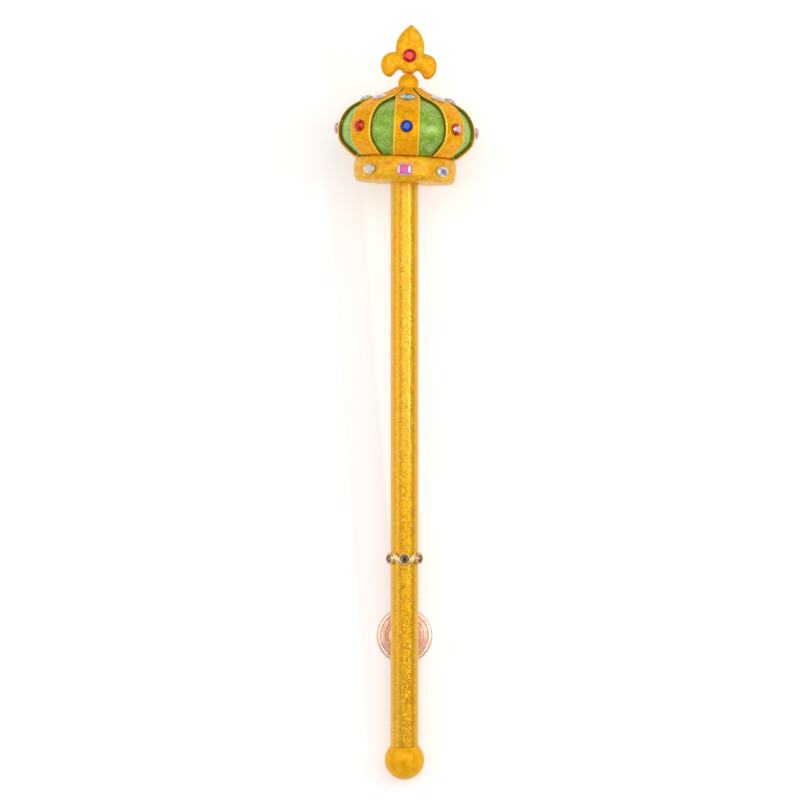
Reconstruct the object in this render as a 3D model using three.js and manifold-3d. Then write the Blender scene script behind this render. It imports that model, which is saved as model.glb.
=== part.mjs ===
// A toy king's sceptre: a glitter-foil shaft with a closed eight-arched crown, stuck-on faceted
// stones, a jewelled ring round the grip, a turned rosette on its back and a ball at the butt.
//
// Units are millimetres, +Z is up. The sceptre is designed standing up, front towards -Y, and is
// then laid on its back: the shaft runs along +Y, the front of the crown looks up, and the piece
// rests on the back stone of the crown, the rosette and the ball. The origin is on the table, in
// the middle of the footprint.
import * as THREE from 'three';
import { mergeVertices } from 'three/addons/utils/BufferGeometryUtils.js';
import Module from 'manifold-3d';

const wasm = await Module();
wasm.setup();

// ---------------------------------------------------------------- driving dimensions

const GAP = 0.3; // between pieces that touch
const DEGREE = Math.PI / 180;

const SHAFT = { radius: 12.6, bottom: 14, sides: 32, chamfer: 0.8, intoCrown: 42 };
const POMMEL = { radius: 17.8 };
const CROWN = { height: 537, lean: 2.3 * DEGREE, arches: 8 }; // its height is from the butt
const CIRCLET = { radius: 46.2, height: 22, bulge: 1.4, corner: 3.6, topCorner: 1.6 };
const ARCH = { halfWidth: 12, taper: 1.6, thickness: 2, crown: 0.1, bead: 0.6, beadWidth: 1.9 };
const NECK = { radius: 9.3, height: 89.5, bottom: 83.8 }; // a ball on a short stem, from the circlet
const FLEUR = {
  lean: 1.7 * DEGREE, aside: -0.7, thickness: 8.4, foot: 97.6, bevel: 2.4, bevelSteps: 2, curveSteps: 5,
};
const GRIP_RING = { height: 199, inner: SHAFT.radius + GAP, outer: 14.4, width: 4.6, settings: 6 };
const SETTING = { radius: 5.3, reach: 16.6, stone: 3.5, stoneHeight: 1.5 };
const LEAF = { length: 13, width: 5, depth: 3.4, slant: 32 * DEGREE };
const ROSETTE = { height: 130, radius: 25.4, baseRadius: 23.2, sides: 32 };
const FLAT_SPOT = 0.25; // depth of the small flats that the sceptre lies on

// The dome's half outline, from its seat on the circlet to its top: radius and height above the
// circlet's underside.
const DOME_SEAT = CIRCLET.height + GAP;
const DOME_OUTLINE = new THREE.SplineCurve(
  [
    [42.9, DOME_SEAT], [52.1, 29.8], [58.1, 37], [59.3, 46.2], [57.1, 55.3], [51.8, 63],
    [44.1, 68.3], [35.4, 72], [26.7, 75.3], [17.9, 78.8], [9.8, NECK.bottom - GAP],
  ].map(([radius, height]) => new THREE.Vector2(radius, height)),
);
// The arches sit by hand: some are a little out of their even places round the crown.
const NUDGE = { 1: 0.8 * DEGREE, 7: 2.2 * DEGREE };
const CLOSEST = 1.1 * DEGREE; // what the closest two arches lose on each side by that

const EQUATOR = 43; // height of the dome's widest place
const DOME_STEPS = 12; // the dome and the arches over it are faceted at the same heights

// Stones by place: radius of the girdle, height of the stone, and the colours round the crown.
const ARCH_STONE = { radius: 5.6, height: 3.2, at: 46.7 }; // at: height on the dome's outline
const SHOULDER_STONE = { radius: 6.3, height: 3.2, at: 71.6 };
const FLEUR_STONE = { radius: 6.2, height: 3.2, at: 16.6 }; // at: height above the finial's foot
const OVAL_STONE = { radius: 4.8, stretch: 1.5, height: 2 };
const BAGUETTE_STONE = { halfWidth: 6.5, halfHeight: 5.6, height: 2.2, cutCorner: 0.36 };
const CIRCLET_STONES = { places: [0, 1, 3, 4, 5, 7], at: 9.6 }; // places round the crown; height
const BRILLIANT = { girdle: 0.28, table: 0.52, star: 0.8 }; // shares of the height and of the radius

// ---------------------------------------------------------------- finishes

const finish = (color, roughness, metalness = 0) =>
  new THREE.MeshStandardMaterial({ color, roughness, metalness, flatShading: true });
const FINISH = {
  foil: finish(0xd9a010, 0.3, 0.6),
  glitterGold: finish(0xf2a50c, 0.55, 0.3),
  glitterGreen: finish(0x5fa535, 0.5, 0.2),
  paintedGold: finish(0xf5a612, 0.45, 0.1),
  paleGold: finish(0xe8c98a, 0.25, 0.9),
  roseGold: finish(0xe2a17e, 0.2, 1),
  red: finish(0xd8220f, 0.15),
  blue: finish(0x123f9e, 0.15),
  pink: finish(0xe66f9f, 0.15),
  aqua: finish(0x9fd8c4, 0.15),
  clear: finish(0xe9e4dc, 0.12),
  smoke: finish(0x2c2a1c, 0.12),
};

// ---------------------------------------------------------------- small tools

/** A mesh with its name, ready to be placed. */
function piece(name, geometry, material) {
  const mesh = new THREE.Mesh(geometry, material);
  mesh.name = name;
  return mesh;
}

/** A closed geometry with its shared vertices merged, as a manifold solid. */
function solidOf(geometry) {
  const bare = geometry.clone();
  for (const attribute of ['normal', 'uv', 'uv1', 'color']) bare.deleteAttribute(attribute);
  const welded = mergeVertices(bare, 1e-4);
  return new wasm.Manifold(new wasm.Mesh({
    numProp: 3,
    vertProperties: new Float32Array(welded.attributes.position.array),
    triVerts: new Uint32Array(welded.index.array),
  }));
}

/** The geometry of a manifold solid. */
function geometryOf(solid) {
  const { vertProperties, triVerts } = solid.getMesh();
  const geometry = new THREE.BufferGeometry();
  geometry.setAttribute('position', new THREE.BufferAttribute(vertProperties, 3));
  geometry.setIndex(new THREE.BufferAttribute(triVerts, 1));
  geometry.computeVertexNormals();
  return geometry;
}

/** A placed mesh as a manifold solid, in the frame of another placed object. */
function solidIn(frame, mesh) {
  frame.updateWorldMatrix(true, false);
  mesh.updateWorldMatrix(true, false);
  const toFrame = frame.matrixWorld.clone().invert().multiply(mesh.matrixWorld);
  return solidOf(mesh.geometry.clone().applyMatrix4(toFrame));
}

/** Cuts the placed tools out of a placed mesh. */
function carve(mesh, ...tools) {
  const cut = tools.reduce(
    (solid, tool) => solid.subtract(solidIn(mesh, tool)),
    solidOf(mesh.geometry),
  );
  mesh.geometry = geometryOf(cut);
}

/** A solid of revolution about +Z from [radius, height] points, listed from bottom to top. */
function turned(points, sides) {
  const profile = points.map(([radius, height]) => new THREE.Vector2(radius, height));
  return new THREE.LatheGeometry(profile, sides).rotateX(Math.PI / 2);
}

/** Points on an arc in a turned profile, its angles in degrees from the outward radius. */
function arc(radius, height, size, from, to, steps) {
  return Array.from({ length: steps + 1 }, (_, i) => {
    const angle = (from + ((to - from) * i) / steps) * DEGREE;
    return [radius + size * Math.cos(angle), height + size * Math.sin(angle)];
  });
}

/** A solid through closed loops of points, one loop after another, with flat ends. */
function lofted(loops, endOutline) {
  const count = loops[0].length;
  const positions = loops.flat().flatMap((point) => point.toArray());
  const index = [];
  for (let j = 0; j + 1 < loops.length; j++) {
    for (let i = 0; i < count; i++) {
      const [a, b] = [j * count + i, j * count + ((i + 1) % count)];
      index.push(a, b, b + count, a, b + count, a + count);
    }
  }
  const last = (loops.length - 1) * count;
  for (const [a, b, c] of THREE.ShapeUtils.triangulateShape(endOutline, [])) {
    index.push(a, c, b, last + a, last + b, last + c);
  }
  const geometry = new THREE.BufferGeometry();
  geometry.setAttribute('position', new THREE.Float32BufferAttribute(positions, 3));
  geometry.setIndex(index);
  geometry.computeVertexNormals();
  return geometry;
}

/** A direction round the crown or the grip: 0 is the front and a quarter turn is +X. */
const outward = (turn) => new THREE.Vector3(Math.sin(turn), -Math.cos(turn), 0);

/** Stands a piece made along +Z on a place, looking along a direction. */
function standOn(mesh, place, direction) {
  mesh.position.copy(place);
  mesh.quaternion.setFromUnitVectors(new THREE.Vector3(0, 0, 1), direction);
  return mesh;
}

// ---------------------------------------------------------------- stones

/** A flat-backed brilliant: octagonal table, star and kite facets, and a low girdle. */
function brilliant({ radius, height }) {
  const girdle = BRILLIANT.girdle * height;
  const table = BRILLIANT.table * radius;
  const star = BRILLIANT.star * radius;
  const eighth = Math.PI / 8;
  const starHeight = height
    - ((height - girdle) * (star * Math.cos(eighth) - table)) / (radius - table);
  const ring = (count, size, level, turn = 0) =>
    Array.from({ length: count }, (_, i) => {
      const angle = turn + (2 * Math.PI * i) / count;
      return [size * Math.cos(angle), size * Math.sin(angle), level];
    });
  const rings = [
    ring(16, radius, 0), ring(16, radius, girdle),
    ring(8, star, starHeight, eighth), ring(8, table, height),
  ];
  const positions = [...rings.flat(), [0, 0, 0], [0, 0, height]].flat();
  const [back, rim, stars, tables, backCentre, tableCentre] = [0, 16, 32, 40, 48, 49];
  const index = [];
  for (let i = 0; i < 16; i++) {
    const next = (i + 1) % 16;
    index.push(backCentre, back + next, back + i);
    index.push(back + i, back + next, rim + next, back + i, rim + next, rim + i);
  }
  for (let i = 0; i < 8; i++) {
    const next = (i + 1) % 8;
    const [left, middle, right] = [rim + 2 * i, rim + 2 * i + 1, rim + ((2 * i + 2) % 16)];
    index.push(tableCentre, tables + i, tables + next);
    index.push(tables + i, stars + i, tables + next);
    index.push(stars + i, left, middle, stars + i, middle, right);
    index.push(tables + i, left, stars + i, tables + next, stars + i, right);
  }
  const geometry = new THREE.BufferGeometry();
  geometry.setAttribute('position', new THREE.Float32BufferAttribute(positions, 3));
  geometry.setIndex(index);
  geometry.computeVertexNormals();
  return geometry;
}

/** A flat-backed step cut: a rectangle with cut corners that narrows upwards in two steps. */
function stepCut({ halfWidth, halfHeight, height, cutCorner }) {
  const steps = [[1, 0], [1, 0.25], [0.78, 0.72], [0.52, 1]]; // share of the size, share of the height
  const outline = (share) => {
    const [w, h, cut] = [halfWidth * share, halfHeight * share, cutCorner * halfHeight * share];
    return [
      [w, -h + cut], [w, h - cut], [w - cut, h], [-w + cut, h],
      [-w, h - cut], [-w, -h + cut], [-w + cut, -h], [w - cut, -h],
    ].map(([x, y]) => new THREE.Vector2(x, y));
  };
  const loops = steps.map(([share, level]) =>
    outline(share).map(({ x, y }) => new THREE.Vector3(x, y, level * height)));
  return lofted(loops, outline(1));
}

// ---------------------------------------------------------------- shaft, ball, ring and rosette

/** The round shaft, from inside the ball to inside the crown. */
function shaft() {
  const top = CROWN.height + SHAFT.intoCrown;
  const edge = SHAFT.radius - SHAFT.chamfer;
  return piece('shaft', turned([
    [0, SHAFT.bottom], [edge, SHAFT.bottom], [SHAFT.radius, SHAFT.bottom + SHAFT.chamfer],
    [SHAFT.radius, top - SHAFT.chamfer], [edge, top], [0, top],
  ], SHAFT.sides), FINISH.foil);
}

/** The room that the shaft needs in the pieces that it is pushed into. */
function shaftRoom() {
  const radius = SHAFT.radius + GAP;
  const [bottom, top] = [SHAFT.bottom - GAP, CROWN.height + SHAFT.intoCrown + GAP];
  return piece('shaft_room', turned([[0, bottom], [radius, bottom], [radius, top], [0, top]], SHAFT.sides));
}

/** The ball at the butt. */
function pommelBall() {
  const ball = piece('pommel_ball', new THREE.SphereGeometry(POMMEL.radius, 20, 11), FINISH.paintedGold);
  ball.rotation.x = Math.PI / 2;
  ball.position.z = POMMEL.radius;
  return ball;
}

/** The turn of a setting, or of the leaf half a step after it, round the grip. */
const gripTurn = (index) => (2 * Math.PI * index) / GRIP_RING.settings;

/** The cast ring round the grip: a band with round settings and slanting leaves between them. */
function gripRing() {
  const half = GRIP_RING.width / 2;
  const edge = 0.9;
  const band = turned([
    [GRIP_RING.inner, -half], [GRIP_RING.outer - edge, -half], [GRIP_RING.outer, 0],
    [GRIP_RING.outer - edge, half], [GRIP_RING.inner, half], [GRIP_RING.inner, -half],
  ], 24);
  const frame = new THREE.Group();
  let solid = solidOf(band);
  for (let i = 0; i < GRIP_RING.settings; i++) {
    const depth = SETTING.reach - GRIP_RING.outer + 1.2;
    const cup = new THREE.CylinderGeometry(SETTING.radius * 0.9, SETTING.radius, depth, 10);
    const out = outward(gripTurn(i));
    const seat = out.clone().multiplyScalar(SETTING.reach - depth / 2);
    const placed = standOn(piece('cup', cup.rotateX(Math.PI / 2)), seat, out);
    solid = solid.add(solidIn(frame, placed));
  }
  for (let i = 0; i < GRIP_RING.settings; i++) {
    const leaf = piece('leaf', new THREE.SphereGeometry(0.5, 8, 5));
    leaf.scale.set(LEAF.width, LEAF.depth, LEAF.length);
    leaf.rotation.y = i % 2 ? -LEAF.slant : LEAF.slant;
    leaf.position.set(0, -GRIP_RING.outer, 0.6);
    const spoke = new THREE.Group().add(leaf);
    spoke.rotation.z = gripTurn(i + 0.5);
    solid = solid.add(solidIn(frame, leaf));
  }
  const ring = piece('grip_ring', geometryOf(solid), FINISH.paleGold);
  ring.position.z = GRIP_RING.height;
  return ring;
}

/** The stones of the grip ring, each a low dome of flat facets in its setting. */
function ringStones() {
  return Array.from({ length: GRIP_RING.settings }, (_, i) => {
    const { stone: radius, stoneHeight: top } = SETTING;
    const stone = turned([[0, 0], [radius, 0], [radius, top / 3], [radius * 0.55, top], [0, top]], 8);
    const out = outward(gripTurn(i));
    const seat = out.clone().multiplyScalar(SETTING.reach + GAP).setZ(GRIP_RING.height);
    return standOn(piece(`ring_stone_${i + 1}`, stone, FINISH.smoke), seat, out);
  });
}

/** The turned rosette behind the grip: its flat back lies on the table and its hub meets the shaft. */
function rosette() {
  const { radius, baseRadius, sides } = ROSETTE;
  return piece('back_rosette', turned([
    [0, 0], [baseRadius, 0], [radius, 2.2], [radius - 0.7, 4], [radius - 2.6, 4.8],
    [radius - 4.4, 4.2], [radius - 5.2, 3], [radius - 7, 6], [radius - 9, 4.6],
    [radius - 11.4, 8.4], [radius - 14.6, 10.6], [radius - 14.6, 18], [0, 18],
  ], sides), FINISH.roseGold);
}

// ---------------------------------------------------------------- crown

/** The band at the foot of the crown, gently rounded outwards. */
function circlet() {
  const { radius, height, bulge, corner, topCorner } = CIRCLET;
  const edge = radius - bulge;
  const swell = [0.33, 0.5, 0.67, 0.82].map((share) => [
    radius - bulge * (2 * share - 1) ** 2, share * height,
  ]);
  return piece('circlet', turned([
    [0, 0], ...arc(edge - corner, corner, corner, -90, 0, 3), ...swell,
    ...arc(edge - topCorner, height - topCorner, topCorner, 0, 90, 1), [0, height],
  ], 40), FINISH.glitterGold);
}

/** The swelling dome inside the arches. */
function dome() {
  const outline = DOME_OUTLINE.getPoints(DOME_STEPS).map(({ x, y }) => [x, y]);
  const top = outline.at(-1)[1];
  return piece('dome', turned([[0, DOME_SEAT], ...outline, [0, top]], 28), FINISH.glitterGreen);
}

/** A place on the dome's outline and its outward normal there; share runs from seat to top. */
function onOutline(share) {
  const place = DOME_OUTLINE.getPoint(share);
  const along = DOME_OUTLINE.getTangent(share);
  return { place, normal: new THREE.Vector2(along.y, -along.x) };
}

/** Half of an arch's width at a place: it narrows above and below, and its neighbours stop it. */
function archHalfWidth(place) {
  const free = ARCH.halfWidth - ARCH.taper * ((place.y - EQUATOR) / 38) ** 2;
  const shared = place.x * Math.sin(Math.PI / CROWN.arches - CLOSEST) - GAP / 2;
  return Math.min(free, shared);
}

/** An arch: a strap bent over the dome, with a raised bead along both edges. */
function arch(index) {
  const { thickness, bead, beadWidth } = ARCH;
  const crest = GAP + thickness;
  const section = (halfWidth) => {
    const width = Math.min(beadWidth, halfWidth * 0.45);
    const half = [[halfWidth / 2, GAP], [halfWidth, GAP], [halfWidth - width * 0.3, crest + bead],
      [halfWidth - width, crest]];
    const mirrored = half.toReversed().map(([x, lift]) => [-x, lift]);
    const points = [[0, GAP], ...half, [0, crest + ARCH.crown], ...mirrored];
    return points.map(([x, lift]) => new THREE.Vector2(x, lift));
  };
  const loops = Array.from({ length: DOME_STEPS + 1 }, (_, j) => {
    const { place, normal } = onOutline(j / DOME_STEPS);
    return section(archHalfWidth(place)).map(({ x, y: lift }) => {
      const reach = place.x + normal.x * lift;
      return new THREE.Vector3(-x, -Math.sqrt(reach * reach - x * x), place.y + normal.y * lift);
    });
  });
  const mesh = piece(`arch_${index + 1}`, lofted(loops, section(10)), FINISH.glitterGold);
  mesh.rotation.z = crownTurn(index);
  return mesh;
}

/** The turn of an arch round the crown. */
function crownTurn(index) {
  return (2 * Math.PI * index) / CROWN.arches + (NUDGE[index] ?? 0);
}

/** The small ball between dome and finial, on its short stem. */
function neckBall(grow = 0) {
  const { height, bottom } = NECK;
  const radius = NECK.radius + grow;
  const foot = bottom - grow;
  const sides = [[0, foot], [radius, foot], [radius, height]];
  const cap = arc(0, height, radius, 18, 72, 3);
  return piece('neck_ball', turned([...sides, ...cap, [0, height + radius]], 18), FINISH.glitterGold);
}

/** The finial's outline: a pointed middle petal over two round petals that curl down to a foot. */
function fleurOutline() {
  const half = new THREE.Path();
  half.moveTo(5.3, -3);
  half.lineTo(5.3, 0.2);
  half.quadraticCurveTo(5.6, 3.9, 8.6, 3.6);
  half.bezierCurveTo(11.6, 3.2, 13.2, -3.6, 17, -3.4);
  half.bezierCurveTo(22.6, -3, 25.3, 3, 25.2, 8.6);
  half.bezierCurveTo(25, 15, 19.6, 20.2, 12.5, 19.4);
  half.bezierCurveTo(13.9, 27.5, 12.2, 36.2, 0, 45.2);
  const right = half.getPoints(FLEUR.curveSteps);
  const left = right.slice(0, -1).toReversed().map(({ x, y }) => new THREE.Vector2(-x, y));
  return new THREE.Shape([...right, ...left]);
}

/** The finial, a thick cut-out with rounded edges. */
function fleur() {
  const { thickness, bevel, bevelSteps } = FLEUR;
  const geometry = new THREE.ExtrudeGeometry(fleurOutline(), {
    depth: thickness - 2 * bevel, steps: 1, bevelEnabled: true, bevelSegments: bevelSteps,
    bevelThickness: bevel, bevelSize: bevel, bevelOffset: -bevel,
  });
  geometry.translate(0, 0, bevel - thickness / 2);
  const mesh = piece('fleur_de_lis', geometry, FINISH.glitterGold);
  mesh.rotation.x = Math.PI / 2;
  mesh.position.set(FLEUR.aside, 0, FLEUR.foot - NECK.height);
  return mesh;
}

/** A stone set on an arch, at a share of the dome's outline. */
function archStone(name, cut, index, share, material) {
  const { place, normal } = onOutline(share);
  const lift = 2 * GAP + ARCH.thickness + ARCH.crown;
  const out = outward(crownTurn(index));
  const seat = out.clone().multiplyScalar(place.x + normal.x * lift).setZ(place.y + normal.y * lift);
  const direction = out.multiplyScalar(normal.x).setZ(normal.y).normalize();
  return standOn(piece(name, cut, material), seat, direction);
}

/** The share of the dome's outline at which it has a given height. */
function shareAtHeight(height) {
  let [low, high] = [0, 1];
  for (let i = 0; i < 30; i++) {
    const middle = (low + high) / 2;
    if (DOME_OUTLINE.getPoint(middle).y < height) low = middle;
    else high = middle;
  }
  return low;
}

/** All stones of the crown, by their places round it: arches, shoulders and circlet. */
function crownStones() {
  const archColours = [FINISH.blue, FINISH.red, FINISH.pink, FINISH.red];
  const shoulderColours = [FINISH.aqua, FINISH.pink, FINISH.clear, FINISH.pink];
  const stones = [];
  for (let i = 0; i < CROWN.arches; i++) {
    stones.push(archStone(`arch_gem_${i + 1}`, brilliant(ARCH_STONE), i,
      shareAtHeight(ARCH_STONE.at), archColours[i % 4]));
    stones.push(archStone(`shoulder_gem_${i + 1}`, brilliant(SHOULDER_STONE), i,
      shareAtHeight(SHOULDER_STONE.at), shoulderColours[i % 4]));
  }
  CIRCLET_STONES.places.forEach((place, i) => {
    const turn = crownTurn(place);
    const oval = brilliant(OVAL_STONE).scale(OVAL_STONE.stretch, 1, 1);
    const [cut, colour] = place % 4 ? [oval, FINISH.clear] : [stepCut(BAGUETTE_STONE), FINISH.pink];
    const gem = piece(`circlet_gem_${i + 1}`, cut.rotateX(Math.PI / 2), colour);
    gem.rotation.z = turn;
    gem.position.copy(outward(turn).multiplyScalar(CIRCLET.radius + GAP).setZ(CIRCLET_STONES.at));
    stones.push(gem);
  });
  return stones;
}

/** The rise of the shaft when the ball and a stone at the back of the crown lie on one table. */
function leanOn(stone) {
  const reach = new THREE.Box3().setFromObject(stone).max.y;
  const run = CROWN.height + stone.position.z - POMMEL.radius;
  return Math.atan2(reach, run) - Math.asin(POMMEL.radius / Math.hypot(run, reach));
}

// ---------------------------------------------------------------- putting it together

const lying = new THREE.Group(); // the whole sceptre, laid down
const sceptre = new THREE.Group(); // its own frame, standing up
const crown = new THREE.Group();
const finial = new THREE.Group();
lying.add(sceptre);
sceptre.add(crown);
crown.add(finial);

crown.position.z = CROWN.height;
crown.rotation.y = CROWN.lean;
finial.position.z = NECK.height;
finial.rotation.y = FLEUR.lean;

const shaftMesh = shaft();
const ballMesh = pommelBall();
const circletMesh = circlet();
const domeMesh = dome();
const arches = Array.from({ length: CROWN.arches }, (_, i) => arch(i));
const fleurMesh = fleur();
const stones = crownStones();
sceptre.add(shaftMesh, ballMesh, gripRing(), ...ringStones());
crown.add(circletMesh, domeMesh, ...arches, neckBall(), ...stones);
const fleurStone = piece('fleur_gem', brilliant(FLEUR_STONE), FINISH.red);
fleurStone.rotation.x = Math.PI / 2;
fleurStone.position.set(
  FLEUR.aside, -FLEUR.thickness / 2 - GAP, FLEUR.foot - NECK.height + FLEUR_STONE.at,
);
finial.add(fleurMesh, fleurStone);

// The sceptre is laid on its back, on the ball and on the back stone of the crown.
const backStone = stones.find((stone) => stone.name === 'arch_gem_5');
const lean = leanOn(backStone);
sceptre.rotation.x = lean - Math.PI / 2;
sceptre.position.z = POMMEL.radius * (1 - Math.sin(lean)) - FLAT_SPOT;
lying.updateMatrixWorld(true);

// The rosette lies flat on the table, under the shaft.
const rosetteMesh = rosette();
const under = sceptre.localToWorld(new THREE.Vector3(0, 0, ROSETTE.height));
rosetteMesh.position.set(under.x, under.y, 0);
lying.add(rosetteMesh);

// Each piece makes room for the one that goes into it, and the lowest ones get their flat spot.
const room = shaftRoom();
const neckRoom = neckBall(GAP);
const tableSide = 2000;
const table = piece('table', new THREE.BoxGeometry(tableSide, tableSide, 100).translate(0, 0, -50));
const seatRoom = piece('seat_room', new THREE.BoxGeometry(160, 160, 20).translate(0, 0, DOME_SEAT - 10));
sceptre.add(room);
crown.add(neckRoom, seatRoom);
lying.add(table);
for (const mesh of [circletMesh, domeMesh, rosetteMesh]) carve(mesh, room);
for (const mesh of [domeMesh, ...arches, fleurMesh]) carve(mesh, neckRoom);
for (const mesh of arches) carve(mesh, seatRoom);
carve(ballMesh, room, table);
carve(backStone, table);
for (const tool of [room, neckRoom, seatRoom, table]) tool.removeFromParent();

// The origin is in the middle of the footprint, on the table.
const middle = new THREE.Box3().setFromObject(lying, true).getCenter(new THREE.Vector3());
lying.position.set(-middle.x, -middle.y, 0);
lying.updateMatrixWorld(true);

export default lying;
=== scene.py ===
"""Looks of the toy sceptre: foil, glitter, stones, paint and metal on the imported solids.

The sceptre lies on its back on a pale floor and the camera looks straight down on its front.
Three nested frames carry the pieces: the shaft's, the crown's, which leans a little to the
right, and the finial's, which leans a little more. In each frame +Z runs along the sceptre
towards its tip, -Y is the front and +X is the right. All lengths are in metres.
"""

import logging
import math
from dataclasses import dataclass, field
from enum import Enum

import bpy
import numpy as np
from mathutils import Matrix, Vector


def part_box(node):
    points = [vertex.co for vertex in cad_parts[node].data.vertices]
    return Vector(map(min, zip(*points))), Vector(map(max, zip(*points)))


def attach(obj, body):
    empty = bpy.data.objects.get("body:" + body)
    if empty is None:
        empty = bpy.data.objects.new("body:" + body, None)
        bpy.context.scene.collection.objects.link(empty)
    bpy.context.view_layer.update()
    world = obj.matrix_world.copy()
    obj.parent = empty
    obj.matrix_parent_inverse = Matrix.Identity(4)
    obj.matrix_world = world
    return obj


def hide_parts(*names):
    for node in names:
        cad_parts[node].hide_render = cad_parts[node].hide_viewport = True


LOG = logging.getLogger("sceptre")
MM = 0.001
ROOT = "root"


# ------------------------------------------------------------------------------ frames


@dataclass(frozen=True)
class Place:
    """A right-handed frame: its origin and its three unit axes, as rows of an array."""

    origin: np.ndarray
    axes: np.ndarray

    def put(self, points: np.ndarray) -> np.ndarray:
        """Takes points from this frame to the world.

        Args:
            points: any array whose last axis holds x, y and z.

        Returns:
            The points in the world, in an array of the same shape.
        """
        return self.origin + points @ self.axes

    def take(self, points: np.ndarray) -> np.ndarray:
        """Takes world points into this frame, the reverse of put.

        Args:
            points: any array whose last axis holds x, y and z.

        Returns:
            The points in this frame.
        """
        return (points - self.origin) @ self.axes.T

    def inner(self, height: float, lean: float = 0.0) -> "Place":
        """A frame further up this one that leans to the right.

        Args:
            height: distance along this frame's z.
            lean: turn about y, in radians, positive to the right.

        Returns:
            The new frame.
        """
        about_y = np.array([
            [math.cos(lean), 0, -math.sin(lean)],
            [0, 1, 0],
            [math.sin(lean), 0, math.cos(lean)],
        ])
        return Place(self.put(np.array([0, 0, height])), about_y @ self.axes)


def about_z(turn: float) -> np.ndarray:
    """The three axes of a frame turned about z by an angle in radians, as rows."""
    cos, sin = math.cos(turn), math.sin(turn)
    return np.array([[cos, sin, 0], [-sin, cos, 0], [0, 0, 1]])


def node_points(name: str) -> np.ndarray:
    """The separate corners of a CAD node.

    Args:
        name: the node.

    Returns:
        An array of points in the world, each corner once.
    """
    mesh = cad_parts[name].data
    flat = np.empty(len(mesh.vertices) * 3)
    mesh.vertices.foreach_get("co", flat)
    return np.unique(np.round(flat.reshape(-1, 3), 6), axis=0)


def main_axes(points: np.ndarray) -> tuple[np.ndarray, np.ndarray]:
    """The middle of some points and the directions in which they spread, widest first.

    Args:
        points: an array of points.

    Returns:
        The mean point, and three unit directions as rows.
    """
    middle = points.mean(axis=0)
    return middle, np.linalg.svd(points - middle, full_matrices=False)[2]


# ------------------------------------------------------------------------------ surfaces


@dataclass
class Surface:
    """A closed surface: points, faces of three or four corners, and one value for each point."""

    points: np.ndarray
    faces: list[np.ndarray]
    values: dict[str, np.ndarray] = field(default_factory=dict)
    tones: np.ndarray | None = None

    def triangles(self) -> np.ndarray:
        """All faces as triangles, each four-sided one split along a diagonal."""
        parts = [f if f.shape[1] == 3 else np.vstack([f[:, :3], f[:, [0, 2, 3]]]) for f in self.faces]
        return np.vstack(parts)

    def outward(self) -> "Surface":
        """Turns every face round if the enclosed volume comes out negative.

        The volume is the sum over the triangles of a · (b × c) / 6.

        Returns:
            This surface, its faces pointing outwards.
        """
        a, b, c = (self.points[self.triangles()[:, i]] for i in range(3))
        if np.einsum("ij,ij->i", a, np.cross(b, c)).sum() < 0:
            self.faces = [face[:, ::-1] for face in self.faces]
        return self

    def normals(self) -> np.ndarray:
        """Unit normals at the points, each the sum of (b - a) × (c - a) over its triangles.

        Returns:
            One unit vector for each point.
        """
        tri = self.triangles()
        a, b, c = (self.points[tri[:, i]] for i in range(3))
        flat = np.cross(b - a, c - a)
        total = np.zeros_like(self.points)
        for i in range(3):
            np.add.at(total, tri[:, i], flat)
        return total / np.maximum(np.linalg.norm(total, axis=1, keepdims=True), 1e-18)

    def pushed(self, distance: np.ndarray) -> "Surface":
        """Moves every point along its normal.

        Args:
            distance: how far each point moves outwards.

        Returns:
            This surface.
        """
        self.points = self.points + self.normals() * np.asarray(distance)[:, None]
        return self

    def placed(self, place: Place) -> "Surface":
        """Takes the surface from a frame to the world."""
        self.points = place.put(self.points)
        return self

    def without_beads(self) -> "Surface":
        """Gives every point the edge value 0, so that glitter shows its ground colour alone."""
        self.values["edge"] = np.zeros(len(self.points))
        return self

    def above_floor(self) -> "Surface":
        """Flattens what would reach below the floor, at z = 0, onto the floor."""
        self.points[:, 2] = np.maximum(self.points[:, 2], 0.0)
        return self


def joined(surfaces: list[Surface]) -> Surface:
    """Several surfaces as one.

    Args:
        surfaces: surfaces that hold the same values.

    Returns:
        One surface with all points and faces.
    """
    starts = np.cumsum([0] + [len(s.points) for s in surfaces])
    faces = [face + start for s, start in zip(surfaces, starts) for face in s.faces]
    values = {key: np.concatenate([s.values[key] for s in surfaces]) for key in surfaces[0].values}
    tones = None
    if surfaces[0].tones is not None:
        tones = np.concatenate([s.tones for s in surfaces])
    return Surface(np.vstack([s.points for s in surfaces]), faces, values, tones)


def loft(loops: np.ndarray, values: dict[str, np.ndarray] | None = None) -> Surface:
    """A closed surface through loops of points, with a fan over its first and its last loop.

    The corner of row j and column i is point j * columns + i, each face spans two rows and two
    neighbouring columns, and both ends get one more point in the middle of their loop.

    Args:
        loops: array of rows, columns and coordinates; each row is a closed loop.
        values: point values, arrays of rows and columns.

    Returns:
        The surface, facing outwards.
    """
    rows, columns = loops.shape[:2]
    j, i = np.meshgrid(np.arange(rows - 1), np.arange(columns), indexing="ij")
    corner = (j * columns + i).ravel()
    beside = (j * columns + (i + 1) % columns).ravel()
    quads = np.stack([corner, beside, beside + columns, corner + columns], axis=1)
    first, last = rows * columns, rows * columns + 1
    ring = np.arange(columns)
    step = (ring + 1) % columns
    start_fan = np.stack([np.full(columns, first), step, ring], axis=1)
    top = (rows - 1) * columns
    end_fan = np.stack([np.full(columns, last), top + ring, top + step], axis=1)
    points = np.vstack([loops.reshape(-1, 3), loops[0].mean(axis=0), loops[-1].mean(axis=0)])
    held = {
        key: np.concatenate([grid.ravel(), [grid[0].mean(), grid[-1].mean()]])
        for key, grid in (values or {}).items()
    }
    return Surface(points, [quads, start_fan, end_fan], held).outward()


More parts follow.
